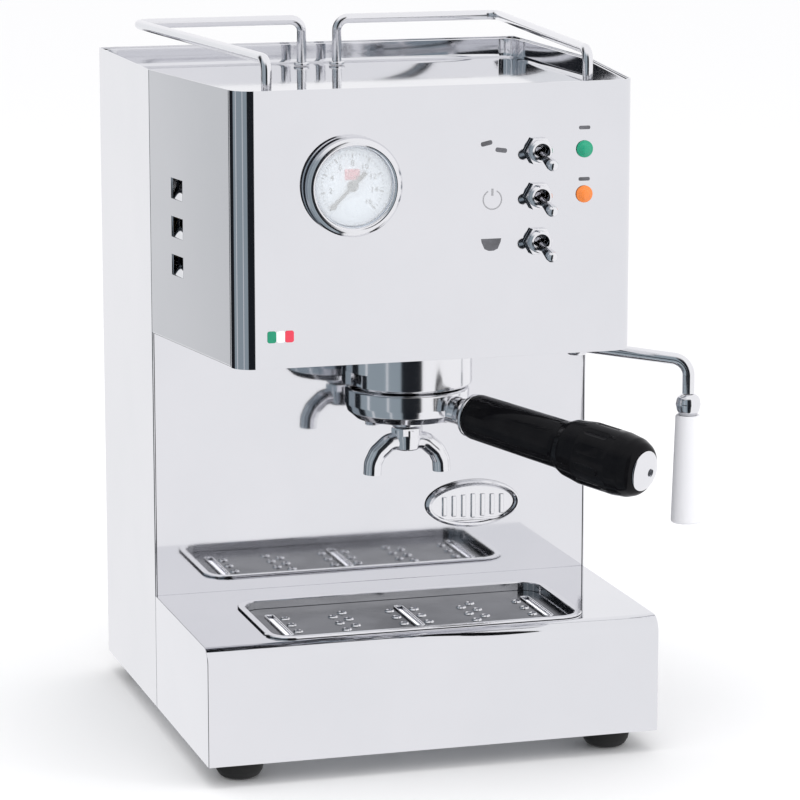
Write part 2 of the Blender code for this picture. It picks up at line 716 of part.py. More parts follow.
def build_cup_tray():
    """The lift-off cup tray with its two rails, and the brackets it lies on."""
    place = pivot("cup_tray_pivot", (0, 0, CUP_FLOOR))
    rim = BODY_TOP - SHEET
    mesh = outline_mesh("cup_tray", tray_outline(SLIDE_FIT), CUP_FLOOR - SHEET, rim)
    tray = piece("cup_tray", mesh, STEEL, place)
    inside = outline_mesh("cut_cup_tray", tray_outline(SLIDE_FIT + SHEET), CUP_FLOOR, rim + 0.010)
    boolean(tray, cutter("cut_cup_tray", inside))

    top = BODY_TOP + RAIL_HEIGHT
    rear_y = COLUMN_DEPTH - RAIL_REAR_SETBACK
    front_y = -HEAD_DEPTH + RAIL_FRONT_SETBACK
    foot = CUP_FLOOR + GAP
    for side, name in ((-1, "rail_left"), (1, "rail_right")):
        points = [(side * RAIL_REAR_POST_X, rear_y, foot), (side * RAIL_REAR_POST_X, rear_y, top)]
        points += [(side * RAIL_CORNER_X, rear_y, top), (side * RAIL_FRONT_X, front_y, top)]
        points += [(side * RAIL_FRONT_X, front_y, foot)]
        rod(name, points, RAIL_DIAMETER / 2, CHROME, place, bend=0.0065, steps=5)

    high = CUP_FLOOR - SHEET - GAP
    low = high - 0.012
    rear_y = COLUMN_DEPTH - SHEET - GAP - BRACKET_DEPTH
    for name, y in (("tray_bracket_front", -HEAD_DEPTH + HEAD_FLANGE + SLIDE_FIT),
                    ("tray_bracket_rear", rear_y)):
        half = INNER - COLUMN_CORNER_RADIUS
        if y < 0:
            half = head_half_width(y, SHEET + 2 * GAP)
        angle = [(y, high), (y + BRACKET_DEPTH, high), (y + BRACKET_DEPTH, high - SHEET)]
        angle += [(y + SHEET, high - SHEET), (y + SHEET, low), (y, low)]
        mesh = outline_mesh(name, angle, -half, half)
        swap = Matrix(((0, 0, 1, 0), (1, 0, 0, 0), (0, 1, 0, 0), (0, 0, 0, 1)))
        piece(name, mesh, DARK_STEEL, None, swap)


# ---------------------------------------------------------------- group and portafilter


def build_group():
    """The group head under the floor of the head, with its gasket and shower screen."""
    top = HEAD_BOTTOM - GAP
    low = top - GROUP_HEIGHT
    recess = low + COLLAR_DEPTH
    place = Matrix.Translation(GROUP)
    profile = [(0, recess), (COLLAR_RADIUS, recess), (COLLAR_RADIUS, low + 0.0006),
               (COLLAR_RADIUS + 0.0006, low)]
    profile += [(GROUP_RADIUS - 0.0008, low), (GROUP_RADIUS, low + 0.0008), (GROUP_RADIUS, top),
                (0.030, top)]
    profile += [(0.030, top + 0.006), (0, top + 0.006)]
    head = turned("group_head", list(reversed(profile)), CHROME, place, sides=32)
    notches = bmesh.new()
    made = bmesh.ops.create_cube(notches, size=1.0)
    width = 2 * (LUG_HALF_WIDTH + 0.004)
    bmesh.ops.scale(notches, vec=(4 * GROUP_RADIUS, width, 2 * NOTCH_HEIGHT), verts=made["verts"])
    bmesh.ops.translate(notches, vec=(0, 0, low), verts=made["verts"])
    entry = Matrix.Rotation(math.radians(LUG_ANGLE - UNLOCK_ANGLE), 4, "Z")
    boolean(head, cutter("cut_notches", to_mesh("cut_notches", notches), place @ entry))

    gasket_top = recess - GAP
    gasket_low = gasket_top - GASKET_HEIGHT
    outer = COLLAR_RADIUS - GAP
    inner = SCREEN_RADIUS + GAP
    ring = [(inner, gasket_low), (inner, gasket_top), (outer, gasket_top), (outer, gasket_low)]
    turned("group_gasket", ring, BLACK_RUBBER, place, sides=32, closed=True)
    screen = [(0, gasket_top), (SCREEN_RADIUS, gasket_top), (SCREEN_RADIUS, gasket_top - 0.0016)]
    screen += [(0.006, gasket_top - 0.0022), (0.0035, gasket_top - 0.0034), (0, gasket_top - 0.0034)]
    turned("shower_screen", screen, STEEL, place, sides=32)
    return low, gasket_low


def build_portafilter(group_low, gasket_low):
    """The portafilter: body, basket, spout and handle, turning about the group's axis."""
    drop = pivot("basket_pivot", (0, GROUP_Y, gasket_low))
    turn = pivot("portafilter_pivot", (0, GROUP_Y, gasket_low))
    place = Matrix.Translation(GROUP)

    rim_top = gasket_low - GAP
    flange_low = rim_top - 0.0010
    basket = [(0, rim_top - BASKET_DEPTH + WALL / 2),
              (BASKET_RADIUS - 0.006, rim_top - BASKET_DEPTH + WALL / 2)]
    basket += [(BASKET_RADIUS - WALL / 2, rim_top - BASKET_DEPTH + 0.006),
               (BASKET_RADIUS - WALL / 2, rim_top)]
    basket += [(BASKET_RADIUS + 0.0026, rim_top), (BASKET_RADIUS + 0.0026, flange_low),
               (BASKET_RADIUS, flange_low)]
    basket += [(BASKET_RADIUS, rim_top - BASKET_DEPTH + 0.006),
               (BASKET_RADIUS - 0.0055, rim_top - BASKET_DEPTH)]
    basket += [(0, rim_top - BASKET_DEPTH)]
    turned("filter_basket", basket, STEEL, place, drop, sides=32)

    seat = flange_low - GAP
    shoulder = group_low - 0.0012
    bottom = shoulder - PORTAFILTER_HEIGHT
    well = BASKET_RADIUS + GAP
    floor = min(rim_top - BASKET_DEPTH - 0.0025, bottom + 0.003)
    neck = COLLAR_RADIUS - 0.0025
    body = [(0, floor), (well - 0.006, floor), (well, floor + 0.005), (well, seat), (neck, seat)]
    body += [(neck, shoulder), (PORTAFILTER_RADIUS - 0.001, shoulder),
             (PORTAFILTER_RADIUS, shoulder - 0.001)]
    body += [(PORTAFILTER_RADIUS, bottom + 0.007), (PORTAFILTER_RADIUS - 0.0015, bottom + 0.003)]
    body += [(PORTAFILTER_RADIUS - 0.0055, bottom), (0.010, bottom - 0.001), (0.0085, bottom - 0.005)]
    body += [(0.0075, bottom - 0.005), (0, bottom - 0.005)]
    filter_body = turned("portafilter_body", body, CHROME, place, turn, sides=32)
    lugs = bmesh.new()
    for side in (-1, 1):
        root = neck - 0.001
        reach = math.sqrt((COLLAR_RADIUS - SLIDE_FIT) ** 2 - LUG_HALF_WIDTH**2)
        low = Vector((min(side * root, side * reach), -LUG_HALF_WIDTH, seat - 0.0050))
        high = Vector((max(side * root, side * reach), LUG_HALF_WIDTH, seat - 0.0012))
        made = bmesh.ops.create_cube(lugs, size=1.0)
        bmesh.ops.scale(lugs, vec=high - low, verts=made["verts"])
        bmesh.ops.translate(lugs, vec=(high + low) / 2, verts=made["verts"])
    spread = place @ Matrix.Rotation(math.radians(LUG_ANGLE), 4, "Z")
    boolean(filter_body, cutter("join_lugs", to_mesh("join_lugs", lugs), spread), "UNION")
    outlet = drum_mesh("cut_outlet", 0.0035, bottom - 0.010, floor + 0.010, 20)
    boolean(filter_body, cutter("cut_outlet", outlet, place))

    heading = math.radians(HANDLE_ANGLE)
    droop = math.radians(HANDLE_DROOP)
    along = Vector((math.sin(heading) * math.cos(droop), -math.cos(heading) * math.cos(droop),
                    -math.sin(droop)))
    axis_height = bottom + 0.0085
    root = Vector((0, GROUP_Y, axis_height)) + Vector((along.x, along.y, 0)) * (PORTAFILTER_RADIUS - 0.006)
    shank_length = HANDLE_START - PORTAFILTER_RADIUS + 0.006
    collar = HANDLE_RADIUS - 0.001
    shank = [(0, shank_length + 0.020), (0.0039, shank_length + 0.020), (0.0039, shank_length),
             (collar, shank_length)]
    shank += [(collar, shank_length - 0.0012), (0.0066, shank_length - 0.0050), (0.0070, 0.003),
              (0.0070, 0.0), (0, 0.0)]
    shank_piece = turned_cutter("join_shank", shank, aim(root, along), 24)
    boolean(filter_body, shank_piece, "UNION")

    start = root + along * shank_length
    build_handle(start, along, turn)
    build_spout(bottom, place, turn)
    return bottom


def build_handle(start, along, parent):
    """The black handle with its chrome end cap."""
    base = GAP
    tip = HANDLE_LENGTH - 0.004
    bulb = tip - 0.050
    thin, fat = HANDLE_RADIUS, HANDLE_BULB_RADIUS
    outside = [(thin - 0.0015, base), (thin, base + 0.002), (thin + 0.0006, bulb - 0.010)]
    outside += [(thin + 0.0008, bulb - 0.003), (thin + 0.0012, bulb), (fat - 0.0008, bulb + 0.009)]
    outside += [(fat, bulb + 0.014), (fat, tip - 0.013), (fat - 0.0010, tip - 0.006)]
    outside += [(fat - 0.0035, tip - 0.0015), (fat - 0.0052, tip)]
    bore = 0.0042
    profile = [(bore, base), (bore, base + 0.030), (0, base + 0.030)]
    down = [(0, tip)] + list(reversed(outside))
    turned("handle", down + profile, BLACK_GLOSS, aim(start, along), parent, sides=32)
    cap_radius = fat - 0.0052
    cap = [(0, tip + 0.0045), (0.0022, tip + 0.0045), (0.0022, tip + 0.0036),
           (cap_radius * 0.55, tip + 0.0030)]
    cap += [(cap_radius * 0.92, tip + 0.0012), (cap_radius, tip + GAP), (0, tip + GAP)]
    turned("handle_cap", cap, CHROME, aim(start, along), parent, sides=32)


def build_spout(bottom, place, parent):
    """The twin spout: a hub with two legs that curve down and out."""
    top = bottom - 0.005 - GAP
    tip = bottom - SPOUT_DROP
    arch = top - 0.0075
    points = [(-SPOUT_SPREAD, GROUP_Y, tip), (-SPOUT_SPREAD + 0.0015, GROUP_Y, tip + 0.009)]
    points += [(-SPOUT_SPREAD * 0.55, GROUP_Y, arch - 0.001), (0, GROUP_Y, arch)]
    points += [(SPOUT_SPREAD * 0.55, GROUP_Y, arch - 0.001), (SPOUT_SPREAD - 0.0015, GROUP_Y, tip + 0.009)]
    points += [(SPOUT_SPREAD, GROUP_Y, tip)]
    spout = solid_rod("twin_spout", points, SPOUT_RADIUS, CHROME, parent, bend=0.008, resolution=3, steps=3)
    hub = drum_mesh("join_hub", 0.0075, arch - 0.004, top, 24)
    boolean(spout, cutter("join_hub", hub, place), "UNION")
    for side in (-1, 1):
        bore = drum_mesh("cut_leg", SPOUT_RADIUS - 0.0012, tip - 0.004, tip + 0.007, 16)
        boolean(spout, cutter("cut_leg", bore, Matrix.Translation((side * SPOUT_SPREAD, GROUP_Y, 0))))


# ---------------------------------------------------------------- gauge and controls


def build_gauge():
    """The boiler pressure gauge: case, dial, needle and glass."""
    place = aim((GAUGE_X, -HEAD_DEPTH, BODY_TOP - GAUGE_BELOW_TOP), (0, -1, 0))
    inner = GAUGE_DIAL_RADIUS - 0.0022
    case = [(0, -GAUGE_DEPTH + WALL), (inner, -GAUGE_DEPTH + WALL), (inner, 0.0012),
            (GAUGE_DIAL_RADIUS + 0.0006, 0.0012)]
    case += [(GAUGE_DIAL_RADIUS + 0.0006, 0.0064), (GAUGE_DIAL_RADIUS - 0.0002, 0.0072)]
    case += [(GAUGE_RADIUS - 0.0045, 0.0088), (GAUGE_RADIUS - 0.0025, 0.0085),
             (GAUGE_RADIUS - 0.0008, 0.0072)]
    case += [(GAUGE_RADIUS, 0.0050), (GAUGE_RADIUS, 0.0010), (GAUGE_RADIUS - 0.0006, GAP)]
    case += [(GAUGE_DIAL_RADIUS, GAP), (GAUGE_DIAL_RADIUS, -GAUGE_DEPTH), (0, -GAUGE_DEPTH)]
    turned("gauge_case", case, CHROME, place, sides=32)
    face = GAUGE_DIAL_RADIUS + 0.0003
    dial = [(0.0012, 0.0022), (face, 0.0022), (face, 0.0015), (0.0012, 0.0015)]
    turned("gauge_dial", dial, WHITE, place, sides=32, closed=True)
    glass = [(0, 0.0062), (face, 0.0062), (face, 0.0050), (0, 0.0050)]
    turned("gauge_glass", glass, CLEAR, place, sides=32)

    turn = pivot("needle_pivot", (GAUGE_X, -HEAD_DEPTH, BODY_TOP - GAUGE_BELOW_TOP))
    blade = bmesh.new()
    outline = [(-0.0016, -0.0060), (0.0016, -0.0060), (0.0010, 0.0), (0.0003, 0.0150),
               (-0.0003, 0.0150), (-0.0010, 0.0)]
    add_prism(blade, outline, 0.0028, 0.0034)
    mesh = to_mesh("gauge_needle", blade)
    needle = piece("gauge_needle", mesh, BLACK_GLOSS, turn,
                   place @ Matrix.Rotation(math.radians(NEEDLE_ANGLE), 4, "Z"))
    hub = drum_mesh("join_needle_hub", 0.0022, 0.0025, 0.0042, 20)
    boolean(needle, cutter("join_needle_hub", hub, place), "UNION")
    spindle = drum_mesh("join_spindle", 0.0008, 0.0006, 0.0030, 12)
    boolean(needle, cutter("join_spindle", spindle, place), "UNION")


def build_toggles():
    """Three toggle switches: a body with its bush and nut, and a lever that tips in the bush."""
    names = ("power", "steam", "brew")
    for name, z in zip(names, toggle_heights()):
        place = aim((TOGGLE_X, -HEAD_DEPTH, z), (0, -1, 0))
        bush = TOGGLE_BUSH_RADIUS
        body = [(0, -0.0040), (0.0036, -0.0040), (0.0036, 0.0030), (0.0044, 0.0070),
                (bush - 0.0004, 0.0070)]
        body += [(bush, 0.0066), (bush, -0.0100), (bush - 0.0008, -0.0100), (0, -0.0100)]
        switch = turned("switch_body_" + name, body, CHROME, place, sides=20)
        boolean(switch, cutter("join_nut", nut_mesh("join_nut", bush - 0.0006), place), "UNION")
        block = box_mesh("join_block", (-0.0065, -0.0100, -0.0270), (0.0065, 0.0100, -0.0090), 0.0008, 1)
        boolean(switch, cutter("join_block", block, place), "UNION")
        turn = pivot(f"switch_{name}_pivot", (TOGGLE_X, -HEAD_DEPTH, z))
        tilt = Matrix.Rotation(math.radians(TOGGLE_TILT), 4, "X")
        lever = [(0, TOGGLE_LEVER), (0.0018, TOGGLE_LEVER - 0.0003), (0.0028, TOGGLE_LEVER - 0.0018)]
        lever += [(0.0031, TOGGLE_LEVER - 0.0045), (0.0020, 0.0100), (0.0018, 0.0030), (0.0026, 0.0012)]
        lever += [(0.0026, -0.0012), (0.0012, -0.0026), (0, -0.0026)]
        turned("switch_lever_" + name, lever, CHROME, place @ tilt, turn, sides=14)


def nut_mesh(name, radius):
    """A hexagonal nut with its bore, so that it only overlaps the wall of the bush."""
    work = bmesh.new()
    sides = 24
    low, high = GAP, 0.0032
    corners = []
    for step in range(6):
        angle = math.radians(60 * step)
        corners.append(work.verts.new((NUT_RADIUS * math.cos(angle), NUT_RADIUS * math.sin(angle), low)))
    bore = []
    for step in range(sides):
        angle = 2 * math.pi * step / sides
        bore.append(work.verts.new((radius * math.cos(angle), radius * math.sin(angle), low)))
    edges = [work.edges.new((corners[i], corners[(i + 1) % 6])) for i in range(6)]
    edges += [work.edges.new((bore[i], bore[(i + 1) % sides])) for i in range(sides)]
    bmesh.ops.triangle_fill(work, edges=edges, use_beauty=True)
    grown = bmesh.ops.extrude_face_region(work, geom=work.faces[:])
    top = [item for item in grown["geom"] if isinstance(item, bmesh.types.BMVert)]
    bmesh.ops.translate(work, vec=(0, 0, high - low), verts=top)
    return to_mesh(name, work)


def build_lamps():
    """The green power lamp and the orange heating lamp."""
    for name, finish, z in zip(("lamp_power", "lamp_heating"), (GREEN, ORANGE), toggle_heights()):
        place = aim((LAMP_X, -HEAD_DEPTH, z), (0, -1, 0))
        radius = LAMP_RADIUS
        profile = [(0, 0.0026), (radius * 0.6, 0.0022), (radius * 0.92, 0.0012), (radius + 0.0008, 0.0009)]
        profile += [(radius + 0.0008, GAP), (radius, GAP), (radius, -0.014), (0, -0.014)]
        turned(name, profile, finish, place, sides=16)


def build_marks():
    """A plain oval badge on the column."""
    work = bmesh.new()
    bmesh.ops.create_cone(work, cap_ends=True, segments=40, radius1=0.5, radius2=0.5, depth=BADGE_THICKNESS)
    bmesh.ops.scale(work, vec=(BADGE_WIDTH, BADGE_HEIGHT, 1.0), verts=work.verts)
    front = [edge for edge in work.edges if all(vert.co.z > 0 for vert in edge.verts)]
    bmesh.ops.bevel(work, geom=front, offset=0.0012, segments=2, affect="EDGES", profile=0.5)
    place = aim((BADGE_X, -BADGE_THICKNESS / 2 - GAP, BASE_TOP + BADGE_ABOVE_BASE), (0, -1, 0))
    turn = place @ Matrix.Rotation(math.radians(180), 4, "Z")
    piece("badge", to_mesh("badge", work), CHROME, None, turn)


# ---------------------------------------------------------------- steam side


def build_steam():
    """The steam wand on its swivel, the steam valve in the column and its knob."""
    top = HEAD_BOTTOM - GAP
    seat = Matrix.Translation((WAND_X, WAND_Y, 0))
    fitting = [(0, top + 0.010), (0.0045, top + 0.010), (0.0045, top), (0.0068, top)]
    fitting += [(0.0068, top - 0.0035), (0, top - 0.0035)]
    turned("steam_fitting", fitting, CHROME, seat, sides=24)

    turn = pivot("wand_pivot", (WAND_X, WAND_Y, top))
    heading = math.radians(WAND_ANGLE)
    out = Vector((math.cos(heading), -math.sin(heading), 0))
    barrel_top = top - 0.0035 - GAP
    level = barrel_top - 0.0065
    origin = Vector((WAND_X, WAND_Y, level))
    elbow = origin + out * WAND_REACH + Vector((0, 0, -0.0060))
    end = origin + out * WAND_REACH + Vector((0, 0, -WAND_DROP - 0.012))
    tube = solid_rod("wand_tube", [origin, elbow, end], WAND_RADIUS, CHROME, turn, bend=0.020,
                     resolution=2, steps=6)
    barrel = drum_mesh("join_barrel", 0.0060, barrel_top - 0.0115, barrel_top, 24)
    boolean(tube, cutter("join_barrel", barrel, seat), "UNION")
    nut = [(0, GAP), (0.0036, GAP), (0.0062, 0.0022), (0.0070, 0.0060), (0.0062, 0.0098), (0.0048, 0.0118)]
    nut += [(0.0048, 0.0270), (0.0040, 0.0285), (0, 0.0285)]
    nut = [(radius, -height) for radius, height in nut]
    hanging = Matrix.Translation(end)
    turned("wand_tip", nut, CHROME, hanging, turn, sides=24)
    sleeve_top = -0.0118 - GAP
    sleeve_low = sleeve_top - SLEEVE_LENGTH
    inner = 0.0048 + GAP
    sleeve = [(inner, sleeve_low), (inner, sleeve_top), (SLEEVE_TOP_RADIUS, sleeve_top)]
    sleeve += [(SLEEVE_BOTTOM_RADIUS, sleeve_low + 0.001), (SLEEVE_BOTTOM_RADIUS - 0.0006, sleeve_low)]
    turned("wand_sleeve", sleeve, MILKY, hanging, turn, sides=24, closed=True)

    height = BODY_TOP - KNOB_BELOW_TOP
    face = aim((HALF, KNOB_Y, height), (1, 0, 0))
    stem = 0.0045
    valve = [(0, 0.0060), (stem, 0.0060), (stem, -0.0060), (0.0085, -0.0060), (0.0085, -0.0250)]
    valve += [(0.0060, -0.0260), (0, -0.0260)]
    body = turned("steam_valve", valve, BRASS, face, sides=16)
    inlet = drum_mesh("join_inlet", 0.0055, -0.018, 0.012, 20)
    boolean(body, cutter("join_inlet", inlet, Matrix.Translation((HALF - 0.016, KNOB_Y, height))), "UNION")
    turn = pivot("knob_pivot", (HALF, KNOB_Y, height))
    radius, length = KNOB_RADIUS, KNOB_LENGTH
    knob = [(0, 0.0060 + GAP), (stem + GAP, 0.0060 + GAP), (stem + GAP, 0.0012), (0.0095, 0.0012),
            (radius - 0.0015, 0.0050)]
    knob += [(radius, 0.0075), (radius, length - 0.0030), (radius - 0.0025, length), (0, length)]
    lobes = turned("steam_knob", list(reversed(knob)), BLACK_GLOSS, face, turn, sides=40)
    grooves = bmesh.new()
    for step in range(8):
        angle = 2 * math.pi * step / 8
        spot = (radius * 1.22 * math.cos(angle), radius * 1.22 * math.sin(angle))
        add_drum(grooves, spot, radius * 0.34, 0.003, length + 0.003, 10)
    boolean(lobes, cutter("cut_grooves", to_mesh("cut_grooves", grooves), face))


# ---------------------------------------------------------------- water side


def build_boiler():
    """The brass boiler over the group, its base plate with bolts and its heating element."""
    plate_low = HEAD_BOTTOM + 0.0060 + GAP
    plate_high = plate_low + 0.005
    place = Matrix.Translation(GROUP)
    radius = BOILER_RADIUS
    plate = [(0, plate_high), (radius + 0.006, plate_high), (radius + 0.006, plate_low), (0, plate_low)]
    turned("boiler_base", plate, BRASS, place, sides=24)
    low = plate_high + GAP
    high = low + BOILER_HEIGHT
    wall = BOILER_WALL
    shell = [(0, high - wall), (radius - 0.012, high - wall), (radius - wall, high - 0.012),
             (radius - wall, low)]
    shell += [(radius + 0.006, low), (radius + 0.006, low + 0.004), (radius, low + 0.004),
              (radius, high - 0.010)]
    shell += [(radius - 0.010, high), (0, high)]
    turned("boiler", list(reversed(shell)), BRASS, place, sides=24)
    x = 0.014
    foot = plate_high + GAP
    top = high - 0.022
    points = [(-x, GROUP_Y, foot), (-x, GROUP_Y, top), (x, GROUP_Y, top), (x, GROUP_Y, foot)]
    rod("heating_element", points, 0.004, DARK_STEEL, bend=0.010, steps=4)
    return high


def build_water(boiler_top):
    """Tank, pump, valve and the pipes between them."""
    left = -INNER + 0.004
    lift = pivot("tank_pivot", (left + TANK_WIDTH / 2, 0.065, TANK_FLOOR))
    centre = (left + TANK_WIDTH / 2, 0.012 + TANK_LENGTH / 2)
    outer = rounded_rectangle(TANK_WIDTH, TANK_LENGTH, 0.010, centre)
    top = TANK_FLOOR + TANK_HEIGHT
    tank = piece("water_tank", outline_mesh("water_tank", outer, TANK_FLOOR, top), CLEAR, lift)
    inner = rounded_rectangle(TANK_WIDTH - 2 * TANK_WALL, TANK_LENGTH - 2 * TANK_WALL, 0.008, centre)
    hollow = outline_mesh("cut_tank", inner, TANK_FLOOR + TANK_WALL, top + 0.01)
    boolean(tank, cutter("cut_tank", hollow))
    lid_outline = rounded_rectangle(TANK_WIDTH, TANK_LENGTH, 0.010, centre)
    lid = piece("tank_lid", outline_mesh("tank_lid", lid_outline, top + GAP, top + GAP + 0.003), GREY, lift)
    fill = rounded_rectangle(0.050, 0.040, 0.008, centre)
    boolean(lid, cutter("cut_fill", outline_mesh("cut_fill", fill, top - 0.01, top + 0.02)))

    shelf_high = TANK_FLOOR - GAP
    shelf_low = shelf_high - SHEET
    y0, y1 = SHEET + GAP, PAN_REAR - SHEET - GAP
    x0, x1 = -INNER, left + TANK_WIDTH + 0.004
    floor = FOOT_HEIGHT + SHEET + GAP
    faces = [[(x0 + SHEET, y0, shelf_high), (x1, y0, shelf_high), (x1, y1, shelf_high),
              (x0 + SHEET, y1, shelf_high)]]
    faces.append([(x1, y0, floor), (x1, y1, floor), (x1, y1, shelf_high), (x1, y0, shelf_high)])
    sheet("tank_shelf", faces, DARK_STEEL)

    valve_x = left + TANK_WIDTH / 2
    valve_y = centre[1]
    valve = [(0.0030, shelf_low - 0.022), (0.0030, shelf_low - GAP), (0.0090, shelf_low - GAP)]
    valve += [(0.0090, shelf_low - 0.008), (0.0055, shelf_low - 0.010), (0.0055, shelf_low - 0.022)]
    turned("tank_valve", valve, BLACK_RUBBER, Matrix.Translation((valve_x, valve_y, 0)), sides=16,
           closed=True)

    build_pump(valve_x, valve_y, shelf_low - 0.022, x1, boiler_top)


def build_pump(valve_x, valve_y, valve_low, shelf_x, boiler_top):
    """The vibration pump, its hoses, the brew valve and the steam and gauge pipes."""
    pump_x = shelf_x + 0.052
    pump_z = FOOT_HEIGHT + SHEET + 0.045
    pump_y = 0.012
    place = aim((pump_x, pump_y, pump_z), (0, 1, 0))
    r, length = PUMP_RADIUS, PUMP_LENGTH - 0.014
    pump = [(0, length), (0.0050, length), (0.0050, length - 0.012), (0.012, length - 0.014),
            (0.014, length - 0.034)]
    pump += [(r, length - 0.036), (r, 0.030), (0.013, 0.028), (0.013, 0.012), (0.0045, 0.010),
             (0.0045, 0), (0, 0)]
    body = turned("pump", pump, GREY, place, sides=16)
    coil = box_mesh("join_coil", (-0.024, -0.020, 0.034), (0.024, 0.020, length - 0.040), 0.002, 1)
    boolean(body, cutter("join_coil", coil, place), "UNION")
    cradle = box_mesh("pump_cradle", (pump_x - 0.018, pump_y + 0.038, FOOT_HEIGHT + SHEET + GAP),
                      (pump_x + 0.018, pump_y + 0.062, pump_z - PUMP_RADIUS - GAP), 0.0015, 1)
    piece("pump_cradle", cradle, BLACK_RUBBER)

    outlet = Vector((pump_x, pump_y + length, pump_z))
    start = Vector((valve_x, valve_y, valve_low - GAP))
    under = valve_low - 0.012
    points = [start, (valve_x, valve_y, under), (shelf_x - 0.014, valve_y, under)]
    rod("suction_hose", points, HOSE_RADIUS, MILKY, bend=0.010)

    rise = BODY_TOP - 0.100
    entry = Vector((BOILER_RADIUS + GAP, GROUP_Y, rise))
    back = outlet + Vector((0, 0.0075, 0))
    riser_x = pump_x + 0.030
    points = [outlet + Vector((0, GAP, 0)), back, (riser_x, back.y, pump_z + 0.030),
              (riser_x, back.y, rise)]
    points += [(riser_x, GROUP_Y, rise), entry]
    rod("pressure_pipe", points, PIPE_RADIUS, COPPER, bend=0.008)

    valve_place = Matrix.Translation((-0.062, -0.062, 0))
    low = HEAD_BOTTOM + SHEET + GAP
    brew = [(0, low + 0.050), (0.0130, low + 0.050), (0.0130, low + 0.018), (0.0090, low + 0.016),
            (0.0090, low)]
    brew += [(0, low)]
    turned("brew_valve", brew, BRASS, valve_place, sides=16)

    knob_z = BODY_TOP - KNOB_BELOW_TOP
    steam_x = HALF - 0.016
    points = [(steam_x, KNOB_Y, knob_z - 0.018 - GAP), (steam_x, KNOB_Y, HEAD_BOTTOM + 0.026)]
    points += [(WAND_X - 0.026, 0.020, HEAD_BOTTOM + 0.026), (WAND_X - 0.026, WAND_Y, HEAD_BOTTOM + 0.026)]
    points += [(WAND_X, WAND_Y, HEAD_BOTTOM + 0.026), (WAND_X, WAND_Y, HEAD_BOTTOM + 0.010)]
    rod("wand_feed", points, PIPE_RADIUS, COPPER, bend=0.008)
    crown = boiler_top + GAP
    feed_z = max(crown + 0.010, knob_z + 0.0204)
    points = [(0.006, GROUP_Y, crown), (0.006, GROUP_Y, feed_z), (0.060, 0.020, feed_z)]
    points += [(steam_x, KNOB_Y, feed_z)]
    rod("steam_feed", points, PIPE_RADIUS, COPPER, bend=0.006)
    gauge_z = BODY_TOP - GAUGE_BELOW_TOP
    points = [(GAUGE_X, -HEAD_DEPTH + GAUGE_DEPTH + GAP, gauge_z), (GAUGE_X, GROUP_Y, gauge_z)]
    points += [(GAUGE_X, GROUP_Y, gauge_z - 0.030), (-BOILER_RADIUS - GAP, GROUP_Y, gauge_z - 0.030)]
    rod("gauge_pipe", points, PIPE_RADIUS, COPPER, bend=0.004, steps=3)


def build_socket():
    """The power inlet in the rear wall, low down."""
    x, z = -0.080, 0.045
    rear = COLUMN_DEPTH
    w, h = SOCKET_WIDTH / 2, SOCKET_HEIGHT / 2
    shell = box_mesh("power_inlet", (x - w, rear - 0.024, z - h), (x + w, rear + GAP * 2, z + h), 0.001, 1)
    inlet = piece("power_inlet", shell, BLACK_RUBBER)
    flange = box_mesh("join_inlet_flange", (x - w - 0.005, rear + GAP, z - h - 0.003),
                      (x + w + 0.005, rear + 0.0025, z + h + 0.003), 0.0008, 1)
    boolean(inlet, cutter("join_inlet_flange", flange), "UNION")
    well = box_mesh("cut_well", (x - w + 0.002, rear - 0.018, z - h + 0.002),
                    (x + w - 0.002, rear + 0.01, z + h - 0.002))
    boolean(inlet, cutter("cut_well", well))
    for number, (dx, dz) in enumerate(((-0.007, -0.001), (0.0, 0.003), (0.007, -0.001))):
        pin = box_mesh("join_pin", (x + dx - 0.001, rear - 0.020, z + dz - 0.0025),
                       (x + dx + 0.001, rear - 0.006, z + dz + 0.0025))
        boolean(inlet, cutter(f"join_pin_{number}", pin), "UNION")


# ---------------------------------------------------------------- whole machine


def centre_machine():
    """Moves the root so that the origin is under the middle of everything."""
    bpy.context.view_layer.update()
    graph = bpy.context.evaluated_depsgraph_get()
    low = Vector((math.inf,) * 3)
    high = -low
    for thing in MACHINE.objects:
        if thing.type == "EMPTY":
            continue
        evaluated = thing.evaluated_get(graph)
        mesh = evaluated.to_mesh()
        for vert in mesh.vertices:
            place = evaluated.matrix_world @ vert.co
            low = Vector(map(min, low, place))
            high = Vector(map(max, high, place))
        evaluated.to_mesh_clear()
    ROOT.location = (-(low.x + high.x) / 2, -(low.y + high.y) / 2, -low.z)
    bpy.context.view_layer.update()


def main():
    """Builds the machine from its feet up."""
    build_floor_pan()
    build_feet()
    build_base_cover()
    build_drip_tray()
    build_column()
    build_head()
    build_cup_tray()
    group_low, gasket_low = build_group()
    build_portafilter(group_low, gasket_low)
    build_gauge()
    build_toggles()
    build_lamps()
    build_marks()
    build_steam()
    boiler_top = build_boiler()
    build_water(boiler_top)
    build_socket()
    centre_machine()


main()
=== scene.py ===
"""A one-group espresso machine of mirror-polished steel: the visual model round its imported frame."""

import logging
import math
from collections.abc import Callable, Sequence
from dataclasses import dataclass, field
from enum import Enum

import bmesh
import bpy
from mathutils import Matrix, Vector


